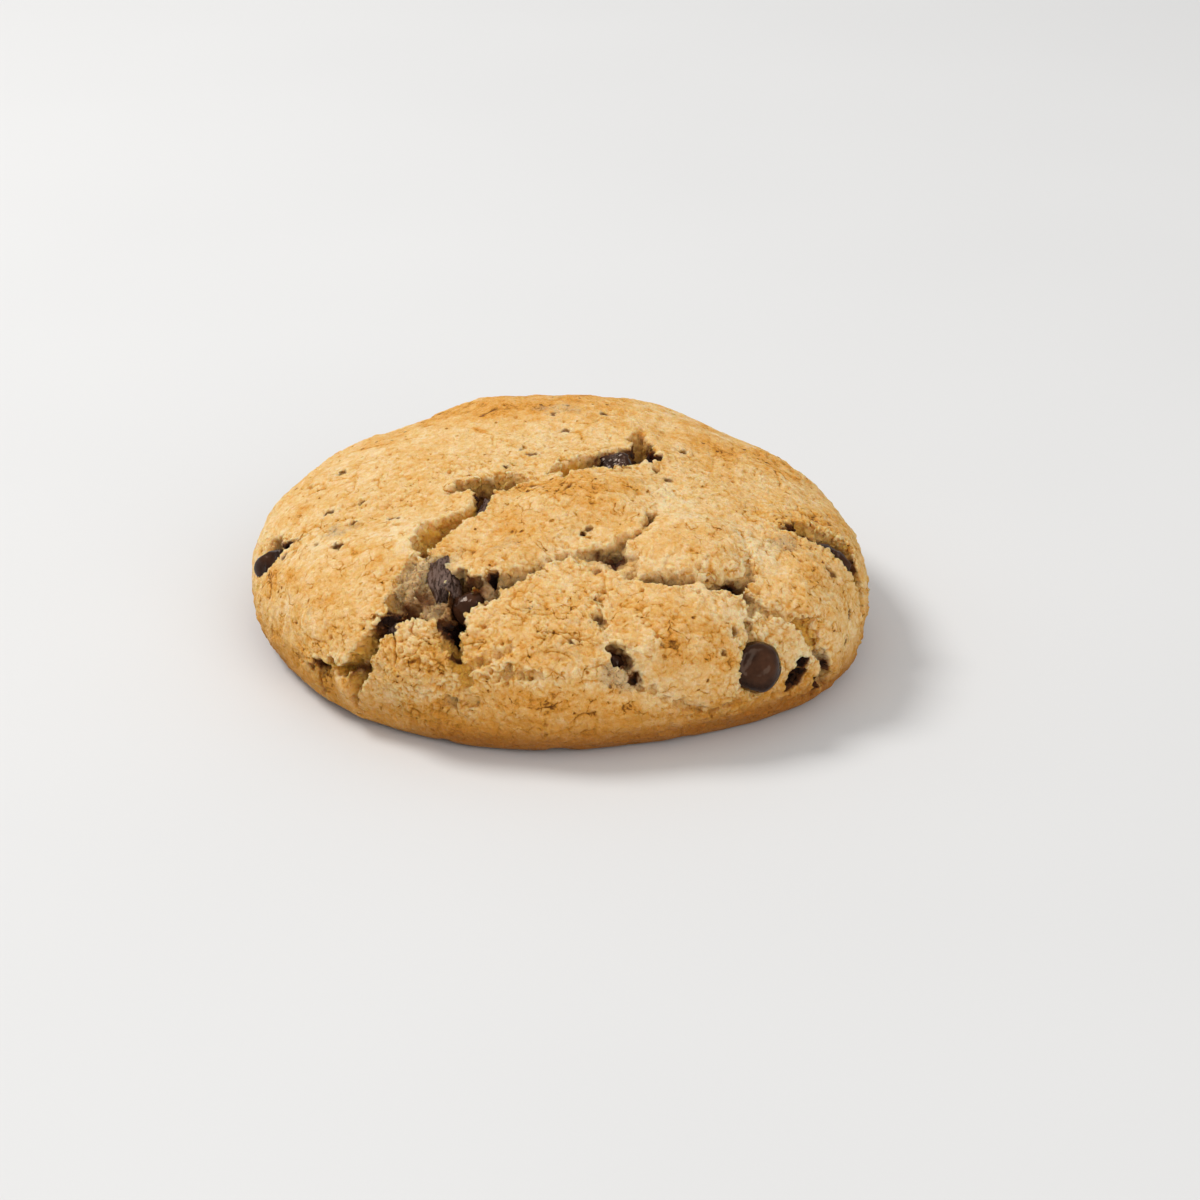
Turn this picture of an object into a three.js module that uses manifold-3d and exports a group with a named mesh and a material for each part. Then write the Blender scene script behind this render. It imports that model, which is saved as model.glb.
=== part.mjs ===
// Chocolate chip cookie: a thick, domed body of baked dough that has split open on top, standing on a flat base,
// with chocolate chips in pockets of their own. Millimetres, +Z up. The origin is on the base, under the middle.
import * as THREE from "three";
import Module from "manifold-3d";
import { ConvexGeometry } from "three/addons/geometries/ConvexGeometry.js";
import { mergeVertices } from "three/addons/utils/BufferGeometryUtils.js";

const wasm = await Module();
wasm.setup();

// Driving dimensions of the dough, in millimetres.
const MEAN_RADIUS = 52.7; // from the upright axis to the widest ring
const HEIGHT = 29.4; // the crown above the base, before its swells
const WIDEST_HEIGHT = 8.4; // the widest ring above the base
const BASE_SHARE = 0.9; // the base's radius as a share of the widest ring's
const CROWN_POWER = 2.33; // 2 is an ellipse, and more is a flatter crown with a rounder shoulder
const RIM_HOLD = 5; // the crust keeps its plain form this near to the base's edge
const CENTRE_SHIFT = [0.1, -0.2]; // brings the middle of the outline's box onto the axis

// Facets: cells across the unrolled crust, and steps in the table that measures along it.
const CRUST_CELLS = 40;
const PROFILE_STEPS = 400;

// Waves that take the outline off a true circle.
const OUTLINE_WAVES = [
  { lobes: 2, cos: -0.1, sin: -1 },
  { lobes: 3, cos: 0, sin: -0.35 },
  { lobes: 4, cos: -0.3, sin: -0.45 },
  { lobes: 5, cos: -0.25, sin: -0.05 },
  { lobes: 6, cos: -0.2, sin: 0.15 },
];

// Places on the crust are given on its unrolled sheet: millimetres from the crown, measured along the crust.
// A swell is a soft mound: its middle, its reach along and across, its turn in degrees and its rise.
const SWELLS = [
  { at: [3.3, -16.2], reach: [12, 7], turn: 20, rise: 2.0 }, // flap in front of the back split
  { at: [21, -25.6], reach: [9, 8], turn: 0, rise: 2.0 }, // mound right of the middle
  { at: [40.4, -29], reach: [8, 10], turn: 20, rise: 1.6 }, // mound at the right
  { at: [21.7, -45.6], reach: [11, 8.5], turn: 8, rise: 2.0 }, // mound at the front right
  { at: [-2.6, -48], reach: [13, 10], turn: 0, rise: 1.2 }, // broad mound at the front
  { at: [-24.3, -48.3], reach: [6.5, 6], turn: -20, rise: 2.0 }, // block between the two front splits
  { at: [-35, -28.3], reach: [12, 13], turn: 35, rise: 1.4 }, // slab left of the long split
  { at: [-8.7, -32.7], reach: [10, 5], turn: 38, rise: 1.3 }, // tongue right of the long split
  { at: [0.8, 27], reach: [26, 13.5], turn: 0, rise: 2.9 }, // crown behind the back split
];

// A split is an open crack. Each point of its route holds two places on the sheet, half its width and its depth.
const SPLITS = [
  // the long split: a wide mouth, a run down to the left, and the deep part over the rim
  [
    [-18, -10.4, 1.0, 1.5],
    [-13.4, -11.4, 2.2, 4.2],
    [-8, -10.7, 1.6, 3.4],
  ],
  [
    [-12.5, -12.1, 2.4, 4.6],
    [-12.7, -18, 2.2, 4.6],
    [-18.7, -22.4, 1.9, 4.2],
    [-22.4, -28.6, 1.5, 3.4],
    [-21.9, -33.5, 1.8, 2.4],
    [-24.2, -39.7, 2.2, 3.4],
    [-30, -45.1, 2.0, 3.6],
    [-34.8, -48.1, 1.8, 3.0],
    [-38.7, -50.7, 1.5, 1.8],
    [-44, -53.6, 1.0, 0.4],
  ],
  // the back split, joined to the long one
  [
    [-8, -10.1, 1.2, 2.2],
    [-0.8, -6.4, 1.0, 2.2],
    [4.6, -2.8, 1.6, 3.2],
    [9.6, 0.8, 2.4, 4.2],
    [14.3, 1.8, 1.9, 4.0],
    [14, 8.1, 1.3, 2.4],
    [15, 13.6, 0.8, 0.4],
  ],
  // the hollow that shows the two front chips, and the split below it
  [
    [-21.4, -35, 2.8, 2.4],
    [-15.2, -40.8, 3.2, 3.2],
    [-16.3, -45.9, 2.0, 4.2],
    [-15.4, -50.2, 1.6, 2.4],
    [-16, -55.5, 1.2, 0.6],
  ],
  // the crease from the two front chips to the middle, and on to the right
  [
    [-13.6, -40.9, 1.6, 2.6],
    [-7.7, -38.5, 1.5, 1.8],
    [-3.1, -34, 1.4, 1.6],
    [3.7, -28.4, 1.6, 2.0],
    [8.5, -30.8, 1.8, 3.0],
    [10.2, -35.2, 1.5, 2.4],
    [15, -37.1, 1.5, 2.8],
    [19.5, -37.7, 1.7, 3.2],
    [24.9, -34.9, 1.7, 3.2],
    [29, -34.3, 1.7, 3.0],
    [29.6, -28.2, 1.4, 2.2],
    [28, -20, 1.3, 1.2],
  ],
  // the crease from the middle up to the flap
  [
    [9.1, -31, 1.5, 2.6],
    [10.8, -27, 1.4, 1.8],
    [13.6, -23.8, 1.4, 1.4],
    [15.6, -17.9, 1.2, 0.8],
  ],
  // the split over the right-hand rim
  [
    [28.2, -17.9, 1.0, 0.8],
    [33.1, -15.7, 1.2, 1.4],
    [38.1, -14.2, 1.6, 3.2],
    [43.2, -15, 1.6, 2.8],
    [47.7, -16.1, 2.2, 3.2],
    [53.3, -18.9, 1.8, 2.8],
    [57.5, -22.7, 1.4, 0.8],
  ],
  // the crease above the front right chip
  [
    [29, -35, 1.4, 2.2],
    [32.8, -37.5, 1.2, 1.2],
    [37.3, -37.4, 1.2, 1.4],
    [40.4, -37.9, 1.2, 1.8],
    [43.9, -40.8, 0.9, 0.6],
  ],
  // the fold under the front right mound
  [
    [10.1, -54.2, 1.2, 0.6],
    [16.6, -56.6, 1.3, 1.3],
    [23.6, -57, 1.3, 1.5],
    [29.5, -54.9, 1.3, 1.2],
  ],
  // the short split on the left-hand rim
  [
    [-45.6, -40.2, 1.0, 0.6],
    [-42, -42.3, 1.5, 2.4],
    [-36.8, -45.3, 1.2, 1.8],
  ],
];

// A pit is a round hole in the crust: its middle, its radius and its depth.
const PITS = [
  { at: [44.3, -43.9], radius: 2.0, depth: 3.2 }, // air hole beside the front right chip
  { at: [48.7, -39.2], radius: 1.4, depth: 2.2 }, // slit at the right
  { at: [10.2, -52.8], radius: 2.8, depth: 2.2 }, // hollow with the front chip
  { at: [-50.2, -10.3], radius: 2.8, depth: 2.6 }, // hollow beside the left-hand chip
];

// Chips: the middle on the sheet, the diameter, how far the middle lies under the crust, and the axis's lean.
const CHIPS = [
  { name: "chip_front_right", at: [34.3, -46.4], diameter: 7.8, sink: 0.6, lean: [10, -15] },
  { name: "chip_left_rim", at: [-52.8, -9.5], diameter: 6.6, sink: 1.9, lean: [-20, 10] },
  { name: "chip_hollow_upper", at: [-20.1, -35.5], diameter: 7.4, sink: 3.2, lean: [15, 10] },
  { name: "chip_hollow_lower", at: [-13.7, -41.8], diameter: 6.2, sink: 4.2, lean: [-10, 20] },
  { name: "chip_long_split_low", at: [-26.6, -43], diameter: 6.0, sink: 4.6, lean: [25, 0] },
  { name: "chip_long_split_high", at: [-12.5, -16.3], diameter: 6.8, sink: 5.2, lean: [0, 20] },
  { name: "chip_back_split", at: [10.3, 0.8], diameter: 7.0, sink: 5.0, lean: [15, -10] },
  { name: "chip_front", at: [10.3, -52.9], diameter: 5.2, sink: 2.9, lean: [0, 0] },
  { name: "chip_right_rim", at: [47.7, -15.6], diameter: 6.2, sink: 4.2, lean: [10, 10] },
  { name: "chip_slit", at: [48.9, -39.4], diameter: 4.4, sink: 3.4, lean: [0, 0] },
];
const CHIP_BASE_DROP = 0.36; // the flat base below the chip's middle, as a share of its diameter
const CHIP_TIP_RISE = 0.44; // the blunt tip above it
const CHIP_SIDES = 12;
const CHIP_GAP = 0.35; // clearance between a chip and its pocket

// A split is cut by a blade. Each station is a share of the split's depth, and a share of its half width there.
const BLADE_STATIONS = [
  [0, 1.15],
  [0.6, 0.85],
  [1, 0.4],
];
const BLADE_PROUD = 2.5; // how far the blade stands out of the crust
const BLADE_OVERLAP = 0.15; // how far each length of blade runs into the next
const PIT_SIDES = 10;
const SLIVER = 0.12; // edges shorter than this are closed up after the cuts

const smoothstep = THREE.MathUtils.smoothstep;
const lerp = THREE.MathUtils.lerp;
const degToRad = THREE.MathUtils.degToRad;

function outlineRadius(turn) {
  return OUTLINE_WAVES.reduce(
    (radius, w) => radius + w.cos * Math.cos(w.lobes * turn) + w.sin * Math.sin(w.lobes * turn),
    MEAN_RADIUS,
  );
}

// The crust's profile from the crown to the base's edge: the radius as a share of the outline, the height, and
// the length along the crust. The crown is a superellipse, and a quarter ellipse tucks it in below the widest ring.
function profileTable() {
  const rows = [];
  for (let i = 0; i <= PROFILE_STEPS; i++) {
    const a = (i / PROFILE_STEPS) * (Math.PI / 2);
    const rise = Math.pow(Math.max(Math.cos(a), 0), 2 / CROWN_POWER);
    rows.push({ share: Math.sin(a), z: WIDEST_HEIGHT + (HEIGHT - WIDEST_HEIGHT) * rise });
  }
  const tuckSteps = Math.round(PROFILE_STEPS / 3);
  for (let i = 1; i <= tuckSteps; i++) {
    const a = (i / tuckSteps) * (Math.PI / 2);
    const share = BASE_SHARE + (1 - BASE_SHARE) * Math.cos(a);
    rows.push({ share, z: WIDEST_HEIGHT * (1 - Math.sin(a)) });
  }
  rows[0].along = 0;
  for (let i = 1; i < rows.length; i++) {
    const run = (rows[i].share - rows[i - 1].share) * MEAN_RADIUS;
    rows[i].along = rows[i - 1].along + Math.hypot(run, rows[i].z - rows[i - 1].z);
  }
  return rows;
}
const PROFILE = profileTable();
const CRUST_LENGTH = PROFILE[PROFILE.length - 1].along;

function profileAt(along) {
  let low = 0;
  let high = PROFILE.length - 1;
  while (high - low > 1) {
    const middle = (low + high) >> 1;
    if (PROFILE[middle].along <= along) low = middle;
    else high = middle;
  }
  const [a, b] = [PROFILE[low], PROFILE[high]];
  const t = THREE.MathUtils.clamp((along - a.along) / (b.along - a.along), 0, 1);
  return { share: lerp(a.share, b.share, t), z: lerp(a.z, b.z, t) };
}

// A place on the sheet carried onto the plain dome.
function onDome(u, v) {
  const turn = Math.atan2(v, u);
  const { share, z } = profileAt(Math.min(Math.hypot(u, v), CRUST_LENGTH));
  const radius = share * outlineRadius(turn);
  return new THREE.Vector3(
    radius * Math.cos(turn) + CENTRE_SHIFT[0],
    radius * Math.sin(turn) + CENTRE_SHIFT[1],
    z,
  );
}

// The direction out of the plain dome.
function outOfDome(u, v) {
  const step = 0.05;
  const alongU = onDome(u + step, v).sub(onDome(u - step, v));
  const alongV = onDome(u, v + step).sub(onDome(u, v - step));
  return alongU.cross(alongV).normalize();
}

function swellAt(u, v) {
  let rise = 0;
  for (const s of SWELLS) {
    const c = Math.cos(degToRad(s.turn));
    const w = Math.sin(degToRad(s.turn));
    const [du, dv] = [u - s.at[0], v - s.at[1]];
    const p = (du * c + dv * w) / s.reach[0];
    const q = (dv * c - du * w) / s.reach[1];
    rise += s.rise * Math.exp(-Math.pow(p * p + q * q, 1.5));
  }
  return rise;
}

// A point of the finished crust, before its splits and pits are cut.
function onCrust(u, v) {
  const left = CRUST_LENGTH - Math.hypot(u, v);
  const free = smoothstep(left, 0, RIM_HOLD);
  return onDome(u, v).addScaledVector(outOfDome(u, v), free * swellAt(u, v));
}

// A square of cells pressed into a disc, so that the cells keep nearly the same size all over.
function squareToDisc(a, b) {
  if (a === 0 && b === 0) return [0, 0];
  const wide = Math.abs(a) > Math.abs(b);
  const radius = wide ? a : b;
  const turn = wide ? (Math.PI / 4) * (b / a) : Math.PI / 2 - (Math.PI / 4) * (a / b);
  return [radius * Math.cos(turn), radius * Math.sin(turn)];
}

function crustGeometry() {
  const n = CRUST_CELLS;
  const points = [];
  for (let j = 0; j <= n; j++) {
    for (let i = 0; i <= n; i++) {
      const [a, b] = squareToDisc((2 * i) / n - 1, (2 * j) / n - 1);
      const onEdge = i === 0 || j === 0 || i === n || j === n;
      const p = onEdge
        ? onDome(a * CRUST_LENGTH, b * CRUST_LENGTH).setZ(0)
        : onCrust(a * CRUST_LENGTH, b * CRUST_LENGTH);
      points.push(p.x, p.y, p.z);
    }
  }
  const row = n + 1;
  const faces = [];
  for (let j = 0; j < n; j++) {
    for (let i = 0; i < n; i++) {
      const [p, q, r, s] = [j * row + i, j * row + i + 1, (j + 1) * row + i + 1, (j + 1) * row + i];
      // The diagonal runs round the disc, so that no corner cell folds.
      if (i < n / 2 === j < n / 2) faces.push(p, q, s, q, r, s);
      else faces.push(p, q, r, p, r, s);
    }
  }
  // The flat base: one fan from its middle to the crust's edge.
  const middle = points.length / 3;
  points.push(CENTRE_SHIFT[0], CENTRE_SHIFT[1], 0);
  for (let i = 0; i < n; i++) {
    faces.push(middle, i + 1, i);
    faces.push(middle, n * row + i, n * row + i + 1);
    faces.push(middle, i * row, (i + 1) * row);
    faces.push(middle, (i + 1) * row + n, i * row + n);
  }
  return new THREE.BufferGeometry()
    .setAttribute("position", new THREE.BufferAttribute(new Float32Array(points), 3))
    .setIndex(faces);
}

// A baked chip: a flat base, a round shoulder and a blunt tip, grown by a gap for its pocket.
function chipGeometry(diameter, grow = 0) {
  const r = diameter / 2 + grow;
  const low = CHIP_BASE_DROP * diameter + grow;
  const high = CHIP_TIP_RISE * diameter + grow;
  const outline = [
    [0, -low],
    [0.62 * r, -low],
    [0.9 * r, -0.72 * low],
    [r, -0.15 * low],
    [0.93 * r, 0.35 * high],
    [0.7 * r, 0.72 * high],
    [0.36 * r, 0.93 * high],
    [0, high],
  ];
  const lathe = new THREE.LatheGeometry(outline.map(([x, y]) => new THREE.Vector2(x, y)), CHIP_SIDES);
  return lathe.rotateX(Math.PI / 2);
}

// Where a chip sits: its middle under the finished crust, its axis out of the dome with a lean of its own.
function placeChip(object, chip) {
  const [u, v] = chip.at;
  const out = outOfDome(u, v);
  object.position.copy(onDome(u, v)).addScaledVector(out, swellAt(u, v) - chip.sink);
  object.quaternion.setFromUnitVectors(new THREE.Vector3(0, 0, 1), out);
  object.rotateX(degToRad(chip.lean[0]));
  object.rotateY(degToRad(chip.lean[1]));
  object.updateMatrix();
  return object;
}

function solidFrom(geometry) {
  const bare = geometry.clone();
  bare.deleteAttribute("normal");
  bare.deleteAttribute("uv");
  const merged = mergeVertices(bare, 1e-4);
  return new wasm.Manifold(
    new wasm.Mesh({
      numProp: 3,
      vertProperties: merged.attributes.position.array,
      triVerts: new Uint32Array(merged.index.array),
    }),
  );
}

function geometryFrom(solid) {
  const mesh = solid.getMesh();
  const geometry = new THREE.BufferGeometry()
    .setAttribute("position", new THREE.BufferAttribute(new Float32Array(mesh.vertProperties), 3))
    .setIndex(new THREE.BufferAttribute(new Uint32Array(mesh.triVerts), 1));
  geometry.computeVertexNormals();
  return geometry;
}

// A split's cross-section at one point of its route: a blade that stands out of the crust and narrows on the way down.
function bladeSection(route, i) {
  const [u, v, half, depth] = route[i];
  const [before, after] = [route[Math.max(i - 1, 0)], route[Math.min(i + 1, route.length - 1)]];
  const out = outOfDome(u, v);
  const along = onCrust(after[0], after[1]).sub(onCrust(before[0], before[1]));
  const side = new THREE.Vector3().crossVectors(out, along).normalize();
  const middle = onCrust(u, v);
  return BLADE_STATIONS.flatMap(([down, width]) => {
    const level = middle.clone().addScaledVector(out, down > 0 ? -down * depth : BLADE_PROUD);
    return [-1, 1].map((hand) => level.clone().addScaledVector(side, hand * width * half));
  });
}

// One convex length of blade between two sections, run on a little past both.
function bladeLength(start, end) {
  const onward = end[0].clone().sub(start[0]).setLength(BLADE_OVERLAP);
  const corners = [...start.map((p) => p.clone().sub(onward)), ...end.map((p) => p.clone().add(onward))];
  return solidFrom(new ConvexGeometry(corners));
}

// A split: a chain of blade lengths along its route.
function splitSolid(route) {
  const sections = route.map((point, i) => bladeSection(route, i));
  const lengths = sections.slice(1).map((section, i) => bladeLength(sections[i], section));
  return lengths.reduce((whole, length) => whole.add(length));
}

// A pit: a blunt egg whose lowest point is as deep as the pit.
function pitSolid({ at: [u, v], radius, depth }) {
  const egg = new THREE.SphereGeometry(radius, PIT_SIDES, PIT_SIDES / 2).scale(1, 1, depth / radius);
  const middle = onCrust(u, v);
  return solidFrom(egg.translate(middle.x, middle.y, middle.z));
}

// The dough: the crust on its flat base, cut by the splits and pits, with a pocket for each chip.
// Crumbs that a cut sets loose are dropped.
function doughGeometry() {
  const cuts = [...SPLITS.map(splitSolid), ...PITS.map(pitSolid)];
  for (const chip of CHIPS) {
    const pocket = placeChip(new THREE.Object3D(), chip);
    cuts.push(solidFrom(chipGeometry(chip.diameter, CHIP_GAP).applyMatrix4(pocket.matrix)));
  }
  const dough = solidFrom(crustGeometry()).subtract(cuts.reduce((whole, cut) => whole.add(cut)));
  const largest = dough.decompose().sort((a, b) => b.volume() - a.volume())[0];
  return geometryFrom(largest.simplify(SLIVER));
}

const crustMaterial = new THREE.MeshStandardMaterial({ color: 0xd09a58, roughness: 0.85, metalness: 0 });
const chocolateMaterial = new THREE.MeshStandardMaterial({ color: 0x3a2422, roughness: 0.4, metalness: 0 });

const cookie = new THREE.Group();
const dough = new THREE.Mesh(doughGeometry(), crustMaterial);
dough.name = "dough";
cookie.add(dough);
for (const chip of CHIPS) {
  const mesh = placeChip(new THREE.Mesh(chipGeometry(chip.diameter), chocolateMaterial), chip);
  mesh.name = chip.name;
  cookie.add(mesh);
}

export default cookie;
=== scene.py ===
"""Chocolate chip cookie: the finished dough, its chips and a plain stage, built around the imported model.

Lengths in the shaping functions are millimetres, and finished meshes and the stage are in metres. Places on
the crust are given on its unrolled sheet: (u, v) from the crown, u to the right and v to the back.
"""
import math

import bmesh
import bpy
import numpy as np
from bpy.props import FloatProperty, FloatVectorProperty, IntProperty, PointerProperty
from bpy.types import Operator, Panel, PropertyGroup
from mathutils import Euler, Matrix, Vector
from mathutils.kdtree import KDTree


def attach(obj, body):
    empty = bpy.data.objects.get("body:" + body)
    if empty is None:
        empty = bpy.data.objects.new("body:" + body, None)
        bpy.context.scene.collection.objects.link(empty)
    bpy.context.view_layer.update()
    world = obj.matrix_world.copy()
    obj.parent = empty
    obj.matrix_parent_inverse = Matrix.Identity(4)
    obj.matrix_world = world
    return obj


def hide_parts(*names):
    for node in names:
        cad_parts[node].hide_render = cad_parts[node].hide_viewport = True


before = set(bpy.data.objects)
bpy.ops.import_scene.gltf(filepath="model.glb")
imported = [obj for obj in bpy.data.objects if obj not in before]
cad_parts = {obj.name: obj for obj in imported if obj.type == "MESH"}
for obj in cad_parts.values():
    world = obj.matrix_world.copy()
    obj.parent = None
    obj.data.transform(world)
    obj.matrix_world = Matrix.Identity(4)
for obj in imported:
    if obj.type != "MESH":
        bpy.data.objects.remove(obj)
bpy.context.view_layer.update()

bl_info = {
    "name": "Chocolate chip cookie",
    "version": (1, 0, 0),
    "blender": (4, 5, 0),
    "location": "3D View > Sidebar > Cookie",
    "description": "Bakes a thick, split chocolate chip cookie around its packed model",
    "category": "Add Mesh",
}

MM = 0.001

# --- The plain dome ---

MEAN_RADIUS = 52.7
HEIGHT = 29.4  # without the swells
WIDEST_HEIGHT = 8.4  # the dome is widest this far over its base
BASE_SHARE = 0.9  # radius of the base as a share of the widest
CROWN_POWER = 2.33  # 2 makes the crown an ellipse, and more makes it squarer
CENTRE_SHIFT = (0.1, -0.2)  # middle of the outline
RIM_HOLD = 5.0  # the relief fades out over this length before the base's edge
PROFILE_STEPS = 400
# Waves that take the outline off a true circle: lobes, cosine part, sine part.
OUTLINE_WAVES = ((2, -0.1, -1.0), (3, 0.0, -0.35), (4, -0.3, -0.45), (5, -0.25, -0.05), (6, -0.2, 0.15))

# --- Relief: soft mounds, splits and pits ---

# A swell is a soft mound: its middle, its reach along and across, its turn in degrees and its rise.
SWELLS = (
    ((3.3, -16.2), (12, 7), 20, 2.4),  # flap in front of the back split
    ((21.0, -25.6), (9, 8), 0, 2.7),  # mound right of the middle
    ((40.4, -29.0), (8, 10), 20, 2.0),  # mound at the right
    ((21.7, -45.6), (11, 8.5), 8, 2.6),  # mound at the front right
    ((-2.6, -48.0), (13, 10), 0, 1.2),  # broad mound at the front
    ((-24.3, -48.3), (6.5, 6), -20, 2.6),  # block between the two front splits
    ((-35.0, -28.3), (12, 13), 35, 1.8),  # slab left of the long split
    ((-8.7, -32.7), (10, 5), 38, 1.8),  # tongue right of the long split
    ((0.8, 27.0), (26, 13.5), 0, 2.9),  # crown behind the back split
    ((-15.0, 37.5), (5, 9), 0, 0.8),  # unevenness of the back
    ((-27.0, 28.0), (5, 9), 0, -0.8),
    ((-3.5, 39.5), (6, 9), 0, -0.7),
    ((14.5, 38.5), (4, 9), 0, 0.5),
    ((30.0, 29.0), (6, 9), 0, -0.6),
    ((57.5, -20.0), (7, 7), 0, -1.4),  # the rim drawn in under the right-hand split
    ((-56.0, -10.0), (5, 5), 0, -0.6),
)

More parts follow.
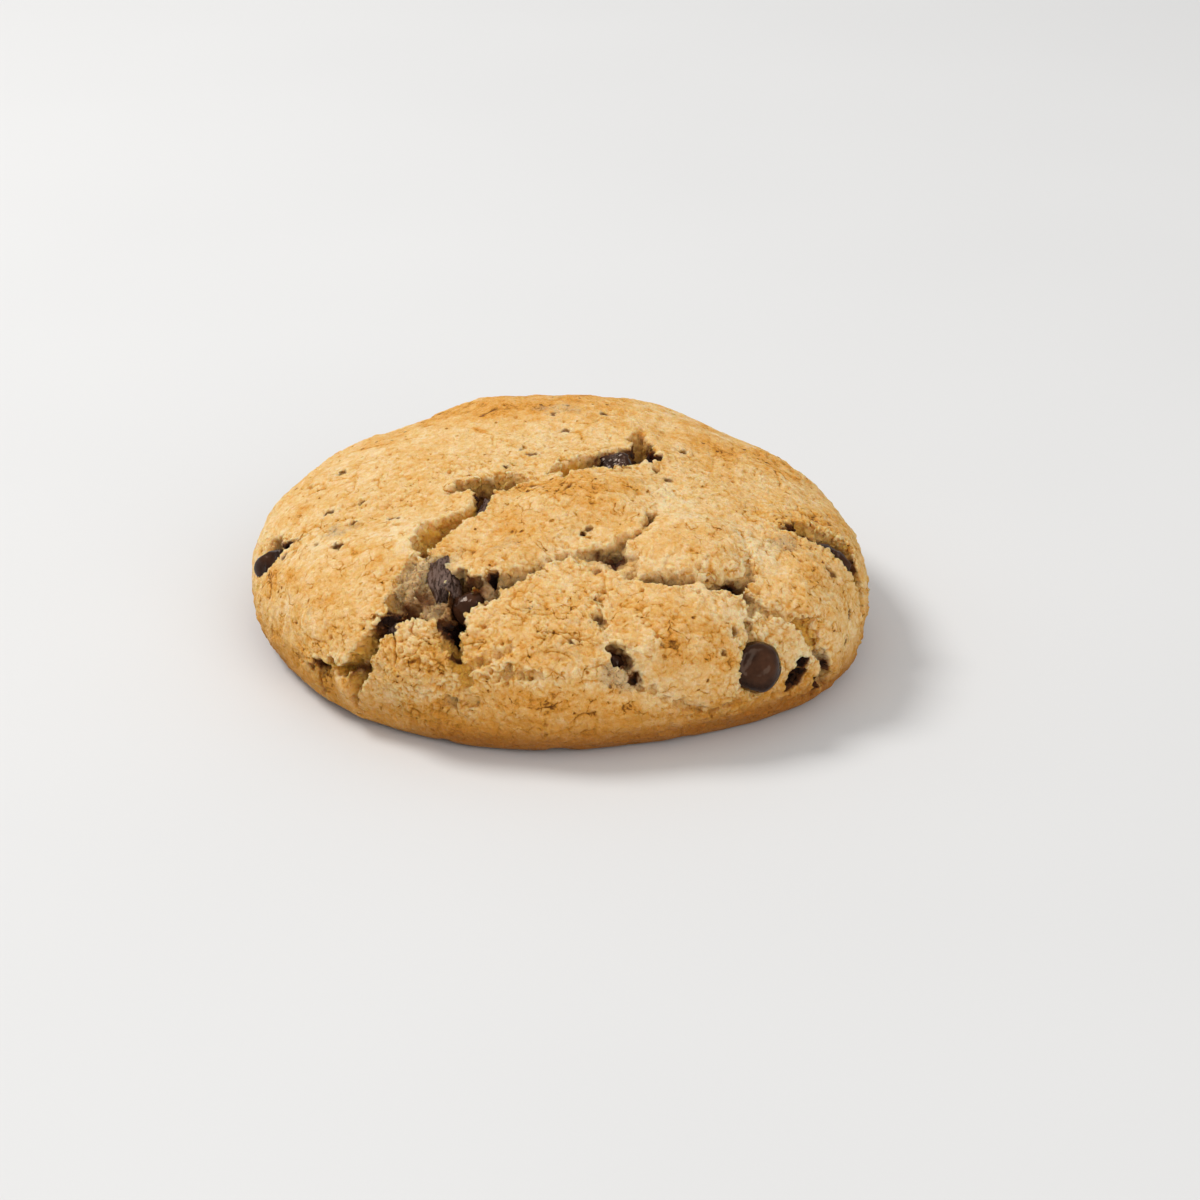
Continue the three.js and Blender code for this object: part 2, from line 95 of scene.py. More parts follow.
# A split is an open crack. Each has the lift of the crust left and right of its route, the reach of the
# rolled shoulder left and right, the side whose wall slopes (1 left, -1 right, 0 neither, 2 both) and its
# route. Each point of the route holds its place on the sheet, half the width and the depth.
SPLITS = (
    # the mouth of the long split
    (0.6, 0.5, 0, 0, 1,
     ((-18.8, -10.0, 0.5, 1.4), (-16.6, -9.9, 1.2, 4.0), (-13.6, -10.2, 2.4, 6.0),
      (-10.8, -9.6, 3.0, 6.4), (-8.4, -8.8, 2.3, 5.4), (-5.8, -8.2, 1.2, 3.0))),
    # the long split itself
    (0.9, 1.0, 0, 0, -1,
     ((-12.4, -12.6, 2.0, 6.6), (-12.9, -16.4, 1.5, 5.6), (-13.7, -19.6, 1.2, 4.8),
      (-15.6, -20.4, 1.6, 4.8), (-17.8, -21.5, 2.1, 5.0), (-20.3, -23.8, 2.2, 5.2),
      (-22.1, -26.6, 1.8, 4.6), (-22.6, -29.2, 0.8, 2.4))),
    # the crumbly hollow beside the slab
    (0.0, 0.9, 0, 0, 1,
     ((-23.2, -30.4, 1.2, 1.0), (-23.6, -34.0, 1.9, 1.3), (-24.6, -37.4, 2.4, 1.8),
      (-25.4, -40.2, 2.6, 3.2))),
    # the bed of the long chip under the tongue
    (0.2, 0.0, 0, 0, 2,
     ((-20.2, -31.4, 1.5, 1.2), (-20.4, -36.0, 2.9, 1.7), (-20.0, -41.2, 3.0, 2.3))),
    # the dark pit right of it
    (0.5, 0.0, 0, 0, 0,
     ((-16.4, -36.0, 1.3, 4.6), (-14.8, -38.8, 2.5, 7.0), (-15.4, -42.0, 2.8, 7.0))),
    # from the hollow down over the left-hand rim
    (0.6, 1.2, 0, 0, -1,
     ((-22.5, -41.4, 2.0, 5.0), (-25.4, -42.0, 1.9, 6.6), (-28.6, -42.8, 1.8, 7.0),
      (-31.8, -44.6, 1.6, 6.4), (-34.4, -46.6, 1.6, 6.0), (-37.0, -48.4, 1.4, 5.0),
      (-39.6, -50.4, 0.9, 2.6), (-42.0, -53.0, 0.5, 1.2), (-43.6, -55.4, 0.3, 0.3))),
    # the split below the hollow
    (0.5, 0.9, 0, 0, -1,
     ((-16.6, -43.0, 2.4, 7.0), (-16.8, -45.4, 2.1, 7.4), (-16.6, -48.2, 1.3, 4.6),
      (-16.3, -50.2, 0.9, 3.4), (-15.7, -52.2, 1.4, 2.4), (-15.4, -54.4, 0.9, 1.6),
      (-16.6, -57.4, 0.6, 0.4))),
    # the crease from the hollow to the middle
    (0.5, 0.4, 2.5, 1.0, 1,
     ((-13.8, -41.0, 1.7, 6.4), (-11.4, -39.6, 1.8, 5.6), (-9.0, -37.8, 1.7, 4.2),
      (-6.0, -36.6, 1.2, 2.6), (-3.4, -34.6, 0.8, 1.4), (-0.6, -32.4, 0.7, 1.2), (2.6, -30.4, 0.9, 2.2),
      (5.6, -29.8, 1.2, 3.2), (8.4, -30.2, 1.6, 4.8), (9.8, -33.0, 1.0, 3.4), (10.2, -35.6, 0.8, 2.0))),
    # the crumbly dip where the creases meet
    (0.0, 0.0, 0, 0, 2,
     ((4.4, -31.4, 2.0, 1.2), (8.6, -32.2, 3.4, 2.2), (12.0, -33.2, 2.4, 1.6))),
    # the crease on to the right, under the mound
    (1.0, 0.6, 2.5, 0, 1,
     ((10.0, -35.4, 0.8, 1.8), (12.6, -36.2, 0.8, 1.6), (15.4, -36.4, 1.5, 4.2), (17.4, -36.4, 1.9, 5.2),
      (20.2, -35.8, 1.6, 4.4), (22.6, -34.8, 1.2, 3.4), (25.4, -34.6, 1.6, 4.4), (28.2, -34.0, 2.0, 6.6),
      (29.8, -30.6, 0.9, 2.6), (30.1, -26.0, 0.7, 1.4), (29.6, -21.6, 0.6, 1.0), (29.2, -17.6, 0.4, 0.5))),
    # the upright cracks in the mound's front
    (0.0, 0.0, 1.0, 1.0, 0,
     ((23.3, -35.6, 0.35, 1.2), (22.9, -33.4, 0.3, 0.9), (22.6, -31.0, 0.25, 0.3))),
    (0.0, 0.0, 1.0, 1.0, 0,
     ((18.2, -36.4, 0.35, 1.2), (17.6, -34.4, 0.3, 0.9), (17.8, -32.4, 0.25, 0.3))),
    # the crease from the middle up the flap's right-hand side
    (0.6, 0.5, 2.0, 2.0, 0,
     ((9.6, -29.6, 1.4, 4.0), (10.4, -27.6, 0.9, 2.6), (13.0, -24.8, 0.6, 1.4), (14.4, -22.4, 0.7, 1.4),
      (15.2, -19.8, 1.1, 2.6), (16.0, -16.0, 0.4, 0.5), (17.4, -11.0, 0.3, 0.4), (17.4, -6.6, 0.5, 0.8),
      (16.3, -2.2, 0.9, 1.8))),
    # the back split: a gash, the chip's pit, and a dark hole with a groove above it
    (0.7, 0.7, 0, 0, 1,
     ((-0.8, -6.0, 1.0, 2.0), (2.1, -4.2, 2.3, 4.0), (4.6, -2.0, 2.4, 4.2), (6.8, -1.8, 2.0, 4.0))),
    (0.5, 0.3, 0, 0, 0,
     ((7.6, -1.4, 2.4, 4.8), (9.8, 0.8, 3.8, 5.4), (12.2, 1.8, 3.4, 5.8), (14.6, 2.0, 3.0, 9.0),
      (14.0, 5.6, 1.9, 6.4), (13.8, 9.6, 1.5, 4.2), (14.6, 14.6, 0.7, 1.0))),
    # the notch in the flap's edge
    (0.0, 0.0, 0, 0, 0,
     ((1.6, -5.4, 0.9, 2.2), (1.7, -8.8, 0.5, 0.9))),
    # the split over the right-hand rim
    (0.7, 0.7, 0, 0, 0,
     ((33.0, -15.8, 0.5, 0.8), (36.2, -15.2, 0.9, 2.4), (38.8, -14.6, 1.5, 5.4), (42.0, -13.4, 2.1, 5.0),
      (45.0, -14.2, 2.9, 4.6), (47.6, -15.6, 3.1, 5.2), (50.4, -17.4, 2.6, 5.4), (53.8, -19.2, 2.3, 5.0),
      (57.4, -20.8, 2.2, 4.2), (61.0, -22.2, 1.6, 2.6), (64.0, -23.4, 0.8, 0.8))),
    # the broken edge above the front right chip
    (0.6, 0.3, 1.5, 0, 1,
     ((30.2, -34.8, 1.0, 3.0), (33.0, -37.2, 0.8, 1.6), (36.4, -36.0, 0.8, 1.5), (40.4, -36.4, 1.7, 3.8),
      (43.4, -37.8, 1.3, 2.8), (46.6, -38.3, 1.1, 2.6), (50.0, -39.0, 1.4, 4.6), (53.4, -39.8, 0.7, 1.2))),
    # from there down to the chip
    (0.3, 0.3, 1.5, 1.5, 0,
     ((30.6, -35.4, 0.8, 2.0), (31.4, -38.0, 0.6, 1.4), (30.0, -40.4, 0.8, 2.0), (31.4, -43.2, 0.7, 1.4))),
    # the fold under the front right mound
    (0.8, 0.0, 1.5, 0, 1,
     ((12.6, -54.8, 0.5, 0.6), (15.0, -55.4, 0.7, 1.2), (19.0, -57.0, 0.7, 1.1), (24.0, -57.0, 0.7, 1.0),
      (29.6, -55.6, 0.7, 1.2), (33.6, -52.8, 0.7, 1.2))),
    # the torn bed of the front chip
    (0.3, 0.0, 0, 0, 0,
     ((8.0, -50.8, 0.6, 1.6), (9.6, -51.4, 1.2, 3.4), (11.4, -52.2, 1.5, 3.6), (12.6, -53.8, 0.9, 2.0))),
    # the slit at the right
    (0.2, 0.2, 0, 0, 0,
     ((47.4, -37.0, 0.5, 2.0), (48.6, -39.2, 1.0, 5.4), (49.4, -41.4, 0.8, 4.4), (49.6, -43.4, 0.4, 1.0))),
    # the ledge along the slab's lower edge
    (0.0, 1.0, 0, 0, -1,
     ((-33.4, -45.2, 1.4, 4.6), (-37.9, -45.4, 1.4, 4.6), (-41.1, -43.6, 1.4, 4.4),
      (-44.4, -41.2, 1.4, 4.2), (-47.7, -38.0, 0.9, 2.4), (-49.6, -35.2, 0.4, 0.5))),
    # the crack between the wedge under it and the left-hand rim
    (0.4, 0.6, 0, 1.5, 0,
     ((-44.6, -41.6, 1.2, 4.6), (-46.9, -43.2, 0.9, 3.4), (-51.5, -44.8, 0.6, 1.2))),
    # the shallow crease down the middle of the front
    (0.3, 0.3, 1.5, 1.5, 0,
     ((6.4, -38.4, 0.5, 0.6), (7.4, -42.0, 0.6, 1.0), (6.7, -45.4, 0.8, 1.8), (8.4, -48.6, 0.5, 0.6))),
    # two shallow cracks at the back
    (0.3, 0.3, 1.0, 1.0, 0,
     ((-36.0, 40.0, 0.3, 0.4), (-31.0, 44.5, 0.5, 1.3), (-25.0, 46.0, 0.5, 1.2), (-20.0, 49.5, 0.3, 0.4))),
    (0.3, 0.3, 1.0, 1.0, 0,
     ((20.0, 41.0, 0.3, 0.4), (25.0, 44.0, 0.5, 1.2), (31.0, 43.5, 0.5, 1.2), (36.0, 47.0, 0.3, 0.4))),
    # fine layered splits low on the front
    (0.4, 0.0, 0, 0, 1,
     ((-14.6, -51.8, 0.8, 1.7), (-11.0, -51.2, 0.7, 1.4), (-8.0, -50.6, 0.5, 0.7))),
    (0.4, 0.0, 0, 0, 1,
     ((-13.0, -54.0, 0.5, 0.6), (-8.6, -53.8, 0.8, 1.7), (-3.6, -54.6, 0.6, 1.1), (1.4, -54.2, 0.4, 0.4))),
    (0.3, 0.0, 0, 0, 1,
     ((-22.0, -56.8, 0.4, 0.4), (-19.4, -56.8, 0.8, 1.5), (-14.0, -57.4, 0.6, 0.9))),
)
BOWL = 2  # a split with both sides sloping
LIP_REACH = 2.0  # how far a split's lips stay lifted
LIFT_REACH = 7.0  # how far one side of a split stays higher than the other
WALL_OUT = 0.15  # a split's wall starts this far outside its edge
WALL_IN = 0.55  # and reaches the floor this far inside it
FULL_LIFT_DEPTH = 3.0  # a split this deep has the whole lift beside it
SPLIT_REACH = 16.0  # a split changes nothing farther off than this

# A pit is a small round hole: its middle, its radius, its depth and how dark it is painted inside, with
# painted shade and in some pits melted chocolate.
PITS = (
    ((34.2, -46.4), 4.6, 1.7, 0.0),  # seat of the front right chip
    ((43.4, -43.9), 2.0, 5.0, 1.0),  # air hole beside it
    ((42.6, -41.6), 1.0, 3.0, 0.9),
    ((48.5, -39.4), 1.2, 4.0, 1.0),  # slit at the right
    ((-51.6, -9.0), 4.0, 2.2, 0.0),  # hollow round the left-hand chip
    ((-48.6, -10.6), 1.7, 2.8, 0.9),
    ((-13.8, -40.2), 1.8, 8.0, 1.0),  # dark hole in the front hollow
    ((-10.2, -37.0), 1.0, 4.6, 0.9),  # dark hole under the tongue
    ((-17.0, -45.2), 1.8, 8.0, 1.0),  # dark hole where two front splits meet
    ((28.2, -43.3), 0.7, 1.0, 0.3),
    ((13.8, -54.8), 0.7, 1.8, 0.6),
)
# Pinholes are small pits of one darkness, painted shade in the hole: middle, radius and depth.
PINHOLES = (
    ((4.0, -26.0), 0.55, 2.2), ((4.9, -24.4), 0.5, 1.8), ((1.6, -13.2), 0.6, 1.2),
    ((-45.0, -11.4), 0.7, 1.2), ((-39.2, -7.0), 0.65, 1.0), ((-33.6, -7.0), 0.6, 0.8),
    ((-37.4, -20.6), 0.6, 1.0), ((-36.4, -21.8), 0.6, 0.9), ((-34.2, -14.0), 0.5, 0.8),
    ((-48.0, -14.0), 0.6, 1.0), ((-40.6, -18.0), 0.4, 0.7), ((-28.0, -16.6), 0.4, 0.7),
    ((-43.6, 6.8), 0.6, 0.8), ((-38.0, 9.4), 0.6, 0.8), ((0.9, 12.2), 0.7, 1.0), ((-6.0, 5.4), 0.5, 0.8),
    ((-4.0, 3.4), 0.5, 0.8), ((-8.7, -2.2), 0.4, 0.6), ((-1.3, 19.0), 0.5, 0.6), ((7.3, 19.0), 0.5, 0.6),
    ((8.6, 9.7), 0.4, 0.6), ((22.0, 7.8), 0.6, 0.8), ((18.0, -5.4), 0.6, 1.0), ((16.4, -3.6), 0.6, 1.2),
    ((44.0, -22.6), 0.6, 0.8), ((50.0, -26.6), 0.6, 0.8), ((52.0, -31.0), 0.6, 0.8),
    ((6.9, -44.8), 0.6, 1.2), ((-2.0, -49.0), 0.4, 0.8), ((3.0, -50.0), 0.4, 0.8),
    ((26.6, -47.2), 0.4, 0.7), ((16.6, -49.0), 0.4, 0.7), ((-4.6, -43.6), 0.4, 0.8),
    ((-9.4, -46.0), 0.4, 0.8), ((-18.0, 50.0), 0.7, 1.0), ((6.0, 46.0), 0.6, 0.9),
    ((26.0, 50.0), 0.6, 0.9), ((-44.0, 30.0), 0.7, 1.1), ((48.0, 26.0), 0.6, 0.9),
)
PINHOLE_SHADE = 0.42

# A lump is a broken crumb of dough in a split: its place, its radius and its middle's height over the dome.
LUMPS = (
    ((-11.5, -38.8), 1.8, -1.2), ((7.2, -32.8), 2.1, -1.9), ((11.8, -33.4), 1.7, -1.5),
    ((42.6, -12.4), 1.7, -1.9), ((44.6, -15.6), 1.4, -1.9), ((42.0, -15.4), 1.1, -2.0),
    ((-23.4, -29.6), 1.1, -1.2), ((-24.2, -33.0), 1.4, -1.9), ((-25.4, -36.4), 1.5, -2.2),
    ((-23.4, -38.4), 1.6, -2.4), ((-26.6, -38.8), 1.3, -2.6), ((-22.8, -41.2), 1.4, -1.8),
    ((-18.4, -43.4), 0.9, -1.2), ((-33.6, -45.6), 1.1, -2.6), ((3.4, -3.6), 1.0, -2.6),
    ((41.6, -37.2), 1.1, -1.6), ((37.4, -35.4), 1.2, -0.7), ((44.4, -36.6), 1.3, -0.6),
    ((35.0, -37.6), 1.1, -0.6), ((38.6, -38.6), 1.5, -1.0), ((32.2, -38.8), 1.2, -0.9),
    ((45.4, -40.2), 1.2, -0.8), ((47.2, -36.0), 1.0, -0.5), ((50.6, -20.0), 1.2, -2.4),
    ((46.2, -37.8), 1.3, -1.8),
)

# The ragged edges of the splits: how far places are pushed about, over what distance, and the seeds of the
# push to the right and to the back.
TEARS = ((0.75, 4.2, 11, 13), (0.4, 1.6, 12, 14), (0.28, 0.9, 15, 16))

# --- Patches ---

# A patch is a soft blot on the sheet: its middle, its reach along and across, its turn in degrees, and in the
# tables also its strength.
SMOOTH_CRUST = (((0, 27), (60, 18), 0, 1.0), ((-34, 14), (30, 16), 10, 0.75))
CRUMBLY = (((-24, -51), (10, 9), 0, 0.75), ((41, -38), (9, 4), -8, 0.8))
WITHOUT_HAIRLINES = ((0, 27), (56, 18), 0)
PALER_FLANK = ((-44, -46), (22, 14), -40)
DARKER_FLANK = ((48, -54), (16, 7), 40)
BROWNED = (
    ((3.5, -12.0), (9, 6), 10, 1.0), ((-10.0, -29.0), (9, 5), 38, 0.6), ((-40.0, 2.0), (14, 8), 20, 0.4),
    ((8.0, 24.0), (16, 7), 0, 0.35), ((5.5, -19.0), (9, 3.5), 20, 0.45),
    ((-25.0, -50.0), (5, 3.5), -15, 0.45), ((-28.0, -47.0), (5, 3), -15, 0.35),
    ((-32.0, -29.0), (7, 5), 30, 0.3), ((-46.0, -24.0), (7, 14), 35, 0.45),
    ((-51.0, -33.0), (8, 14), 35, 0.75), ((-45.0, -47.0), (9, 7), 45, 0.8),
    ((23.0, -47.5), (9, 6), 10, 0.65), ((14.0, -46.0), (4, 7), 0, 0.35), ((40.5, -26.0), (8, 7), 20, 0.4),
    ((47.0, -51.0), (12, 7), 45, 0.5), ((-8.0, 27.0), (26, 10), 0, 1.1),
    ((-30.0, 20.0), (10, 7), 30, 0.45), ((32.0, 17.0), (18, 13), -30, 0.75),
    ((48.0, 2.0), (9, 15), 0, 0.55), ((54.0, -14.0), (4, 6), 0, 0.2), ((-28.0, 48.0), (9, 6), -30, 0.5),
    ((12.0, 52.0), (12, 5), 5, 0.45), ((40.0, 38.0), (8, 7), 40, 0.5), ((-8.0, -61.0), (44, 5.5), 0, 0.7),
)
PALE = (
    ((-24.0, 6.0), (24, 12), 5, 0.1), ((-8.0, 2.0), (16, 9), 0, 0.4), ((20.0, -10.0), (9, 13), 0, 0.55),
    ((-33.0, -14.0), (13, 9), 0, 0.35), ((-28.0, -22.0), (10, 7), 40, 0.6),
    ((-23.0, -45.5), (5, 2.5), 0, 0.5), ((-28.0, -53.0), (6, 4), 0, 0.45),
    ((50.0, -29.0), (6, 6), 0, 0.5), ((10.0, -34.0), (9, 5), 0, 0.5), ((28.0, -38.5), (9, 4), 0, 0.6),
    ((-1.0, -38.0), (10, 6), 0, 0.45), ((37.0, -38.5), (7, 3), 0, 0.6), ((33.0, -24.0), (5, 5), 0, 0.4),
)
SMEARED = (
    ((-36.5, -16.0), (4.2, 3.2), -30, 0.6), ((-41.0, -32.6), (4.5, 2.6), -20, 0.4),
    ((-23.6, -34.4), (2.8, 4.4), 0, 0.9), ((-24.8, -38.8), (3.4, 3.0), 0, 1.0),
    ((-22.0, -42.0), (3.0, 1.6), 0, 0.6), ((-20.0, -37.0), (3.6, 6.6), 0, 1.0),
    ((-19.0, -31.0), (3.0, 1.6), 0, 0.8), ((-16.8, -30.0), (3.4, 2.6), 0, 0.45),
    ((-11.0, -30.0), (8.0, 5.0), 35, 0.36), ((-18.6, -43.4), (1.6, 1.6), 0, 0.7),
    ((-11.4, -38.8), (2.2, 2.0), 0, 1.0), ((-8.2, -37.6), (2.2, 1.4), 30, 0.5),
    ((11.2, -54.4), (4.0, 2.6), 0, 1.0), ((7.5, -33.0), (3.0, 2.6), 0, 0.5),
    ((12.6, -33.6), (2.0, 2.6), 0, 0.4), ((35.5, -20.0), (5.0, 3.2), 10, 0.6),
    ((0.0, 20.5), (5.0, 2.6), -15, 0.6), ((7.0, 16.0), (4.5, 1.6), -20, 0.35),
    ((10.4, 3.4), (3.6, 2.4), 0, 0.6), ((46.6, -38.0), (2.6, 1.6), -20, 0.7),
    ((-4.5, 2.0), (3.2, 3.2), 0, 0.3), ((-34.5, -46.5), (2.0, 1.4), 0, 0.8),
)

# Places where the dough in the splits shows amber. Elsewhere it is a dull beige.
AMBER = (
    ((-12.0, -7.6), (7.0, 3.0), 0, 0.6), ((-14.0, -18.5), (3.6, 5.0), 0, 1.0),
    ((-19.6, -22.4), (6.5, 5.0), 30, 1.0), ((-29.0, -39.6), (7.0, 4.0), 20, 0.8),
    ((-39.0, -45.0), (13.0, 7.0), 20, 1.0), ((-16.0, -50.5), (3.5, 7.0), 0, 1.0),
    ((2.4, -2.6), (6.0, 4.0), 0, 1.0), ((15.0, 8.0), (3.0, 5.0), 0, 0.8),
    ((40.6, -36.6), (4.0, 3.0), 0, 1.0), ((43.5, -43.0), (3.5, 3.5), 0, 1.0),
    ((39.6, -12.0), (4.0, 3.0), 0, 0.8), ((50.0, -16.0), (9.0, 6.0), 0, 1.0),
)

# Places where a split or a pit is painted dark: melted chocolate in some, painted shade in deep holes and
# creases in others.
CHOCOLATE_AND_SHADE_SPOTS = (
    ((-15.0, -39.8), (3.4, 4.2), 0, 1.0), ((-10.2, -37.0), (1.2, 1.0), 20, 0.9),
    ((-17.0, -45.2), (2.8, 2.2), 0, 1.0), ((-16.3, -50.2), (1.2, 1.2), 0, 0.6),
    ((-27.0, -41.4), (4.0, 1.8), 30, 0.95), ((-12.4, -12.6), (3.0, 2.4), 0, 0.9),
    ((-11.6, -9.6), (3.4, 1.8), 0, 0.6), ((-21.8, -38.6), (2.0, 2.6), 30, 0.5),
    ((-20.6, -27.4), (1.0, 1.6), 30, 0.5), ((8.6, -0.2), (2.8, 2.2), 0, 1.0),
    ((14.4, 4.0), (3.6, 4.8), 0, 1.0), ((43.4, -43.8), (2.4, 2.0), 0, 1.0),
    ((48.8, -39.8), (2.0, 3.0), -10, 1.0), ((39.6, -14.2), (3.0, 2.2), 0, 1.0),
    ((48.6, -15.2), (3.6, 2.6), -30, 0.9), ((51.6, -17.6), (2.0, 1.4), -30, 0.7),
    ((28.7, -33.8), (2.4, 1.6), 0, 0.95), ((16.8, -36.8), (2.8, 1.2), 0, 0.6),
    ((9.0, -30.8), (2.6, 1.8), 0, 0.85), ((4.2, -25.6), (1.2, 1.4), 0, 0.7),
    ((15.1, -19.8), (0.8, 0.9), 0, 0.6), ((-36.6, -46.4), (2.4, 1.2), 0, 0.5),
    ((-44.6, -41.2), (1.6, 1.0), 0, 0.7), ((-49.6, -10.6), (2.6, 1.8), 20, 1.0),
    ((9.8, -51.4), (2.6, 1.3), -20, 1.0), ((13.8, -54.8), (0.9, 0.7), 0, 0.9),
)

# --- Chips ---

# How each chip shows: how far it stands out of its packed place, its stretch along, across and outwards, the
# turn of its length on the sheet in degrees, and how much crumb clings to it.
CHIP_FORMS = {
    "chip_front_right": (0.2, 1.12, 1.10, 1.0, 90, 0.0),
    "chip_front": (0.1, 1.2, 1.0, 0.8, -30, 0.3),
    "chip_left_rim": (0.2, 1.3, 1.2, 0.85, 30, 0.15),
    "chip_hollow_upper": (2.9, 2.75, 0.58, 0.5, -80, 0.9),
    "chip_hollow_lower": (1.8, 1.5, 1.1, 0.8, -80, 0.3),
    "chip_long_split_low": (1.6, 1.6, 0.8, 0.9, 25, 0.8),
    "chip_long_split_high": (3.5, 1.2, 1.2, 0.8, 0, 0.8),
    "chip_back_split": (3.4, 1.3, 1.0, 0.9, 10, 0.4),
    "chip_right_rim": (2.9, 1.45, 1.2, 0.9, -30, 0.3),
    "chip_slit": (0.5, 1.1, 1.0, 1.0, 0, 0.0),
}

# How far a chip has slid along and across its own turn.
SLID = {
    "chip_hollow_upper": (-0.4, 1.7),
    "chip_hollow_lower": (-1.9, 0.0),
    "chip_long_split_high": (1.3, 1.0),
    "chip_back_split": (0.6, 0.8),
}

# A dip is a hollow melted into a chip: its chip, its place along, across and out from the chip's middle, its
# depth and its reach.
DIPS = (
    ("chip_front_right", (1.6, 2.4, 3.4), 1.5, 2.0),
    ("chip_front_right", (-0.4, 2.8, 2.8), 0.9, 1.4),
    ("chip_left_rim", (0.5, -1.6, 2.4), 0.7, 1.4),
)

CHIP_NAMES = tuple(sorted(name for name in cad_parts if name.startswith("chip_")))
CHIP_SEED = 300  # seed of the first chip's dents
CHIP_SEED_STEP = 10
SMOOTH_CHIP = 0.05  # a chip with no more crumb on it than this has no broken faces
BROKEN_FACE = 0.66  # a broken face lies this share of the chip's size from its middle
BROKEN_SHARE = 0.92  # and takes off this share of what stands beyond it

# --- Fineness ---

SHEET_CELLS = 580  # cells across the unrolled sheet
VOXEL = 0.28  # cell of the even skin that carries the crumb
DOUGH_FACES = 196000  # triangles left after thinning out

# --- The crumb: the sizes of its grains ---

FLAKE = 2.0
SMALL_GRAIN = 1.15
FINE_GRAIN = 0.7
WALL_GRAIN = 1.5  # grains on the walls of the splits
TORN_GRAIN = 1.5  # grains that the edges of the splits break round
HOLE_SPACING = 3.1  # pinprick holes in the crumb

# --- Colours that no setting changes ---

SMEAR_DARK = (0.07, 0.042, 0.024, 1)
SMEAR_PALE = (0.56, 0.41, 0.235, 1)
# Painted shade deep in the splits.
DEEP_SPLIT_SHADE = (0.15, 0.052, 0.008, 1)
# Melted chocolate and painted shade in the splits and pits, brown and nearly black.
BROWN_CHOCOLATE_AND_SHADE = (0.17, 0.055, 0.010, 1)
BLACK_CHOCOLATE_AND_SHADE = (0.018, 0.006, 0.003, 1)
UNDERSIDE = (0.36, 0.15, 0.04, 1)

# --- The stage, in metres ---

FLOOR_HALF = 3.0
FLOOR_DROP = 0.00005  # keeps the floor just clear of the base
FLOOR_MOTTLE = 0.97  # the floor's darker patches, as a share of its colour
LIGHT_AIM = (0, 0, 0.01)
KEY_PLACE = (-0.68, 0.28, 0.90)
KEY_SIZE = 0.42
KEY_COLOUR = (1.0, 0.985, 0.96)
FRONT_PLACE = (0.50, -1.08, 0.60)
FRONT_SIZE = 1.0
FRONT_COLOUR = (1.0, 0.99, 0.97)
AIM_RIGHT = 0.00688  # the camera aims this far right of the cookie's middle
AIM_UP = 0.00326  # and this far above it
NEAR_CLIP = 0.01
SENSOR_WIDTH = 36  # millimetres


# === Noise ===

# Each use of the noise has a seed, a whole number that only sets it apart from the others.

def hashed(x, y, z, seed):
    """Repeatable values from 0 to 1 for whole-number places."""
    h = x * np.uint32(73856093) ^ y * np.uint32(19349663) ^ z * np.uint32(83492791)
    h = h ^ np.uint32((seed * 2654435761) & 0xFFFFFFFF)
    h = (h ^ (h >> np.uint32(15))) * np.uint32(2246822519)
    h = (h ^ (h >> np.uint32(13))) * np.uint32(3266489917)
    h = h ^ (h >> np.uint32(16))
    return h.astype(np.float32) / np.float32(4294967295.0)


def cell_corners(points, cell):
    """The whole-number cell of each point, and the point's place inside it."""
    scaled = points / cell
    whole = np.floor(scaled)
    return whole.astype(np.int64).astype(np.uint32), (scaled - whole).astype(np.float32)


def smooth_noise(points, cell, seed):
    """Smooth noise from -1 to 1 whose bumps are about one cell across."""
    corner, inside = cell_corners(points, cell)
    blend = inside * inside * (3 - 2 * inside)
    total = np.zeros(len(points), np.float32)
    for step in range(8):
        dx, dy, dz = step & 1, (step >> 1) & 1, (step >> 2) & 1
        weight = (blend[:, 0] if dx else 1 - blend[:, 0]) * (blend[:, 1] if dy else 1 - blend[:, 1])
        weight = weight * (blend[:, 2] if dz else 1 - blend[:, 2])
        total += weight * hashed(corner[:, 0] + np.uint32(dx), corner[:, 1] + np.uint32(dy),
                                 corner[:, 2] + np.uint32(dz), seed)
    return total * 2 - 1


def rough_noise(points, cell, seed, octaves=3, gain=0.5):
    """Several layers of smooth noise, each finer and weaker than the last."""
    total = np.zeros(len(points), np.float32)
    strength, span = 1.0, 0.0
    for octave in range(octaves):
        total += strength * smooth_noise(points, cell / 2 ** octave, seed + 17 * octave)
        span += strength
        strength *= gain
    return total / span


def grain_noise(points, cell, seed):
    """Packed grains: how far off the nearest grain's middle and border are, and the grain's own number."""
    corner, inside = cell_corners(points, cell)
    near = np.full(len(points), 9.0, np.float32)
    second = np.full(len(points), 9.0, np.float32)
    own = np.zeros(len(points), np.float32)
    for dx in (-1, 0, 1):
        for dy in (-1, 0, 1):
            for dz in (-1, 0, 1):
                x = corner[:, 0] + np.uint32(dx & 0xFFFFFFFF)
                y = corner[:, 1] + np.uint32(dy & 0xFFFFFFFF)
                z = corner[:, 2] + np.uint32(dz & 0xFFFFFFFF)
                ox = dx + hashed(x, y, z, seed) - inside[:, 0]
                oy = dy + hashed(x, y, z, seed + 1) - inside[:, 1]
                oz = dz + hashed(x, y, z, seed + 2) - inside[:, 2]
                away = np.sqrt(ox * ox + oy * oy + oz * oz)
                nearer = away < near
                second = np.where(nearer, near, np.minimum(second, away))
                own = np.where(nearer, hashed(x, y, z, seed + 3), own)
                near = np.where(nearer, away, near)
    return near, second - near, own


def ease(value, low, high):
    """Smooth step from 0 at low to 1 at high. low may be above high."""
    t = np.clip((value - low) / (high - low), 0, 1)
    return t * t * (3 - 2 * t)


# === The sheet and the dome ===

def outline_radius(turn):
    """How far the outline lies from the middle, in each direction."""
    radius = np.full_like(turn, MEAN_RADIUS)
    for lobes, cosine, sine in OUTLINE_WAVES:
        radius = radius + cosine * np.cos(lobes * turn) + sine * np.sin(lobes * turn)
    return radius


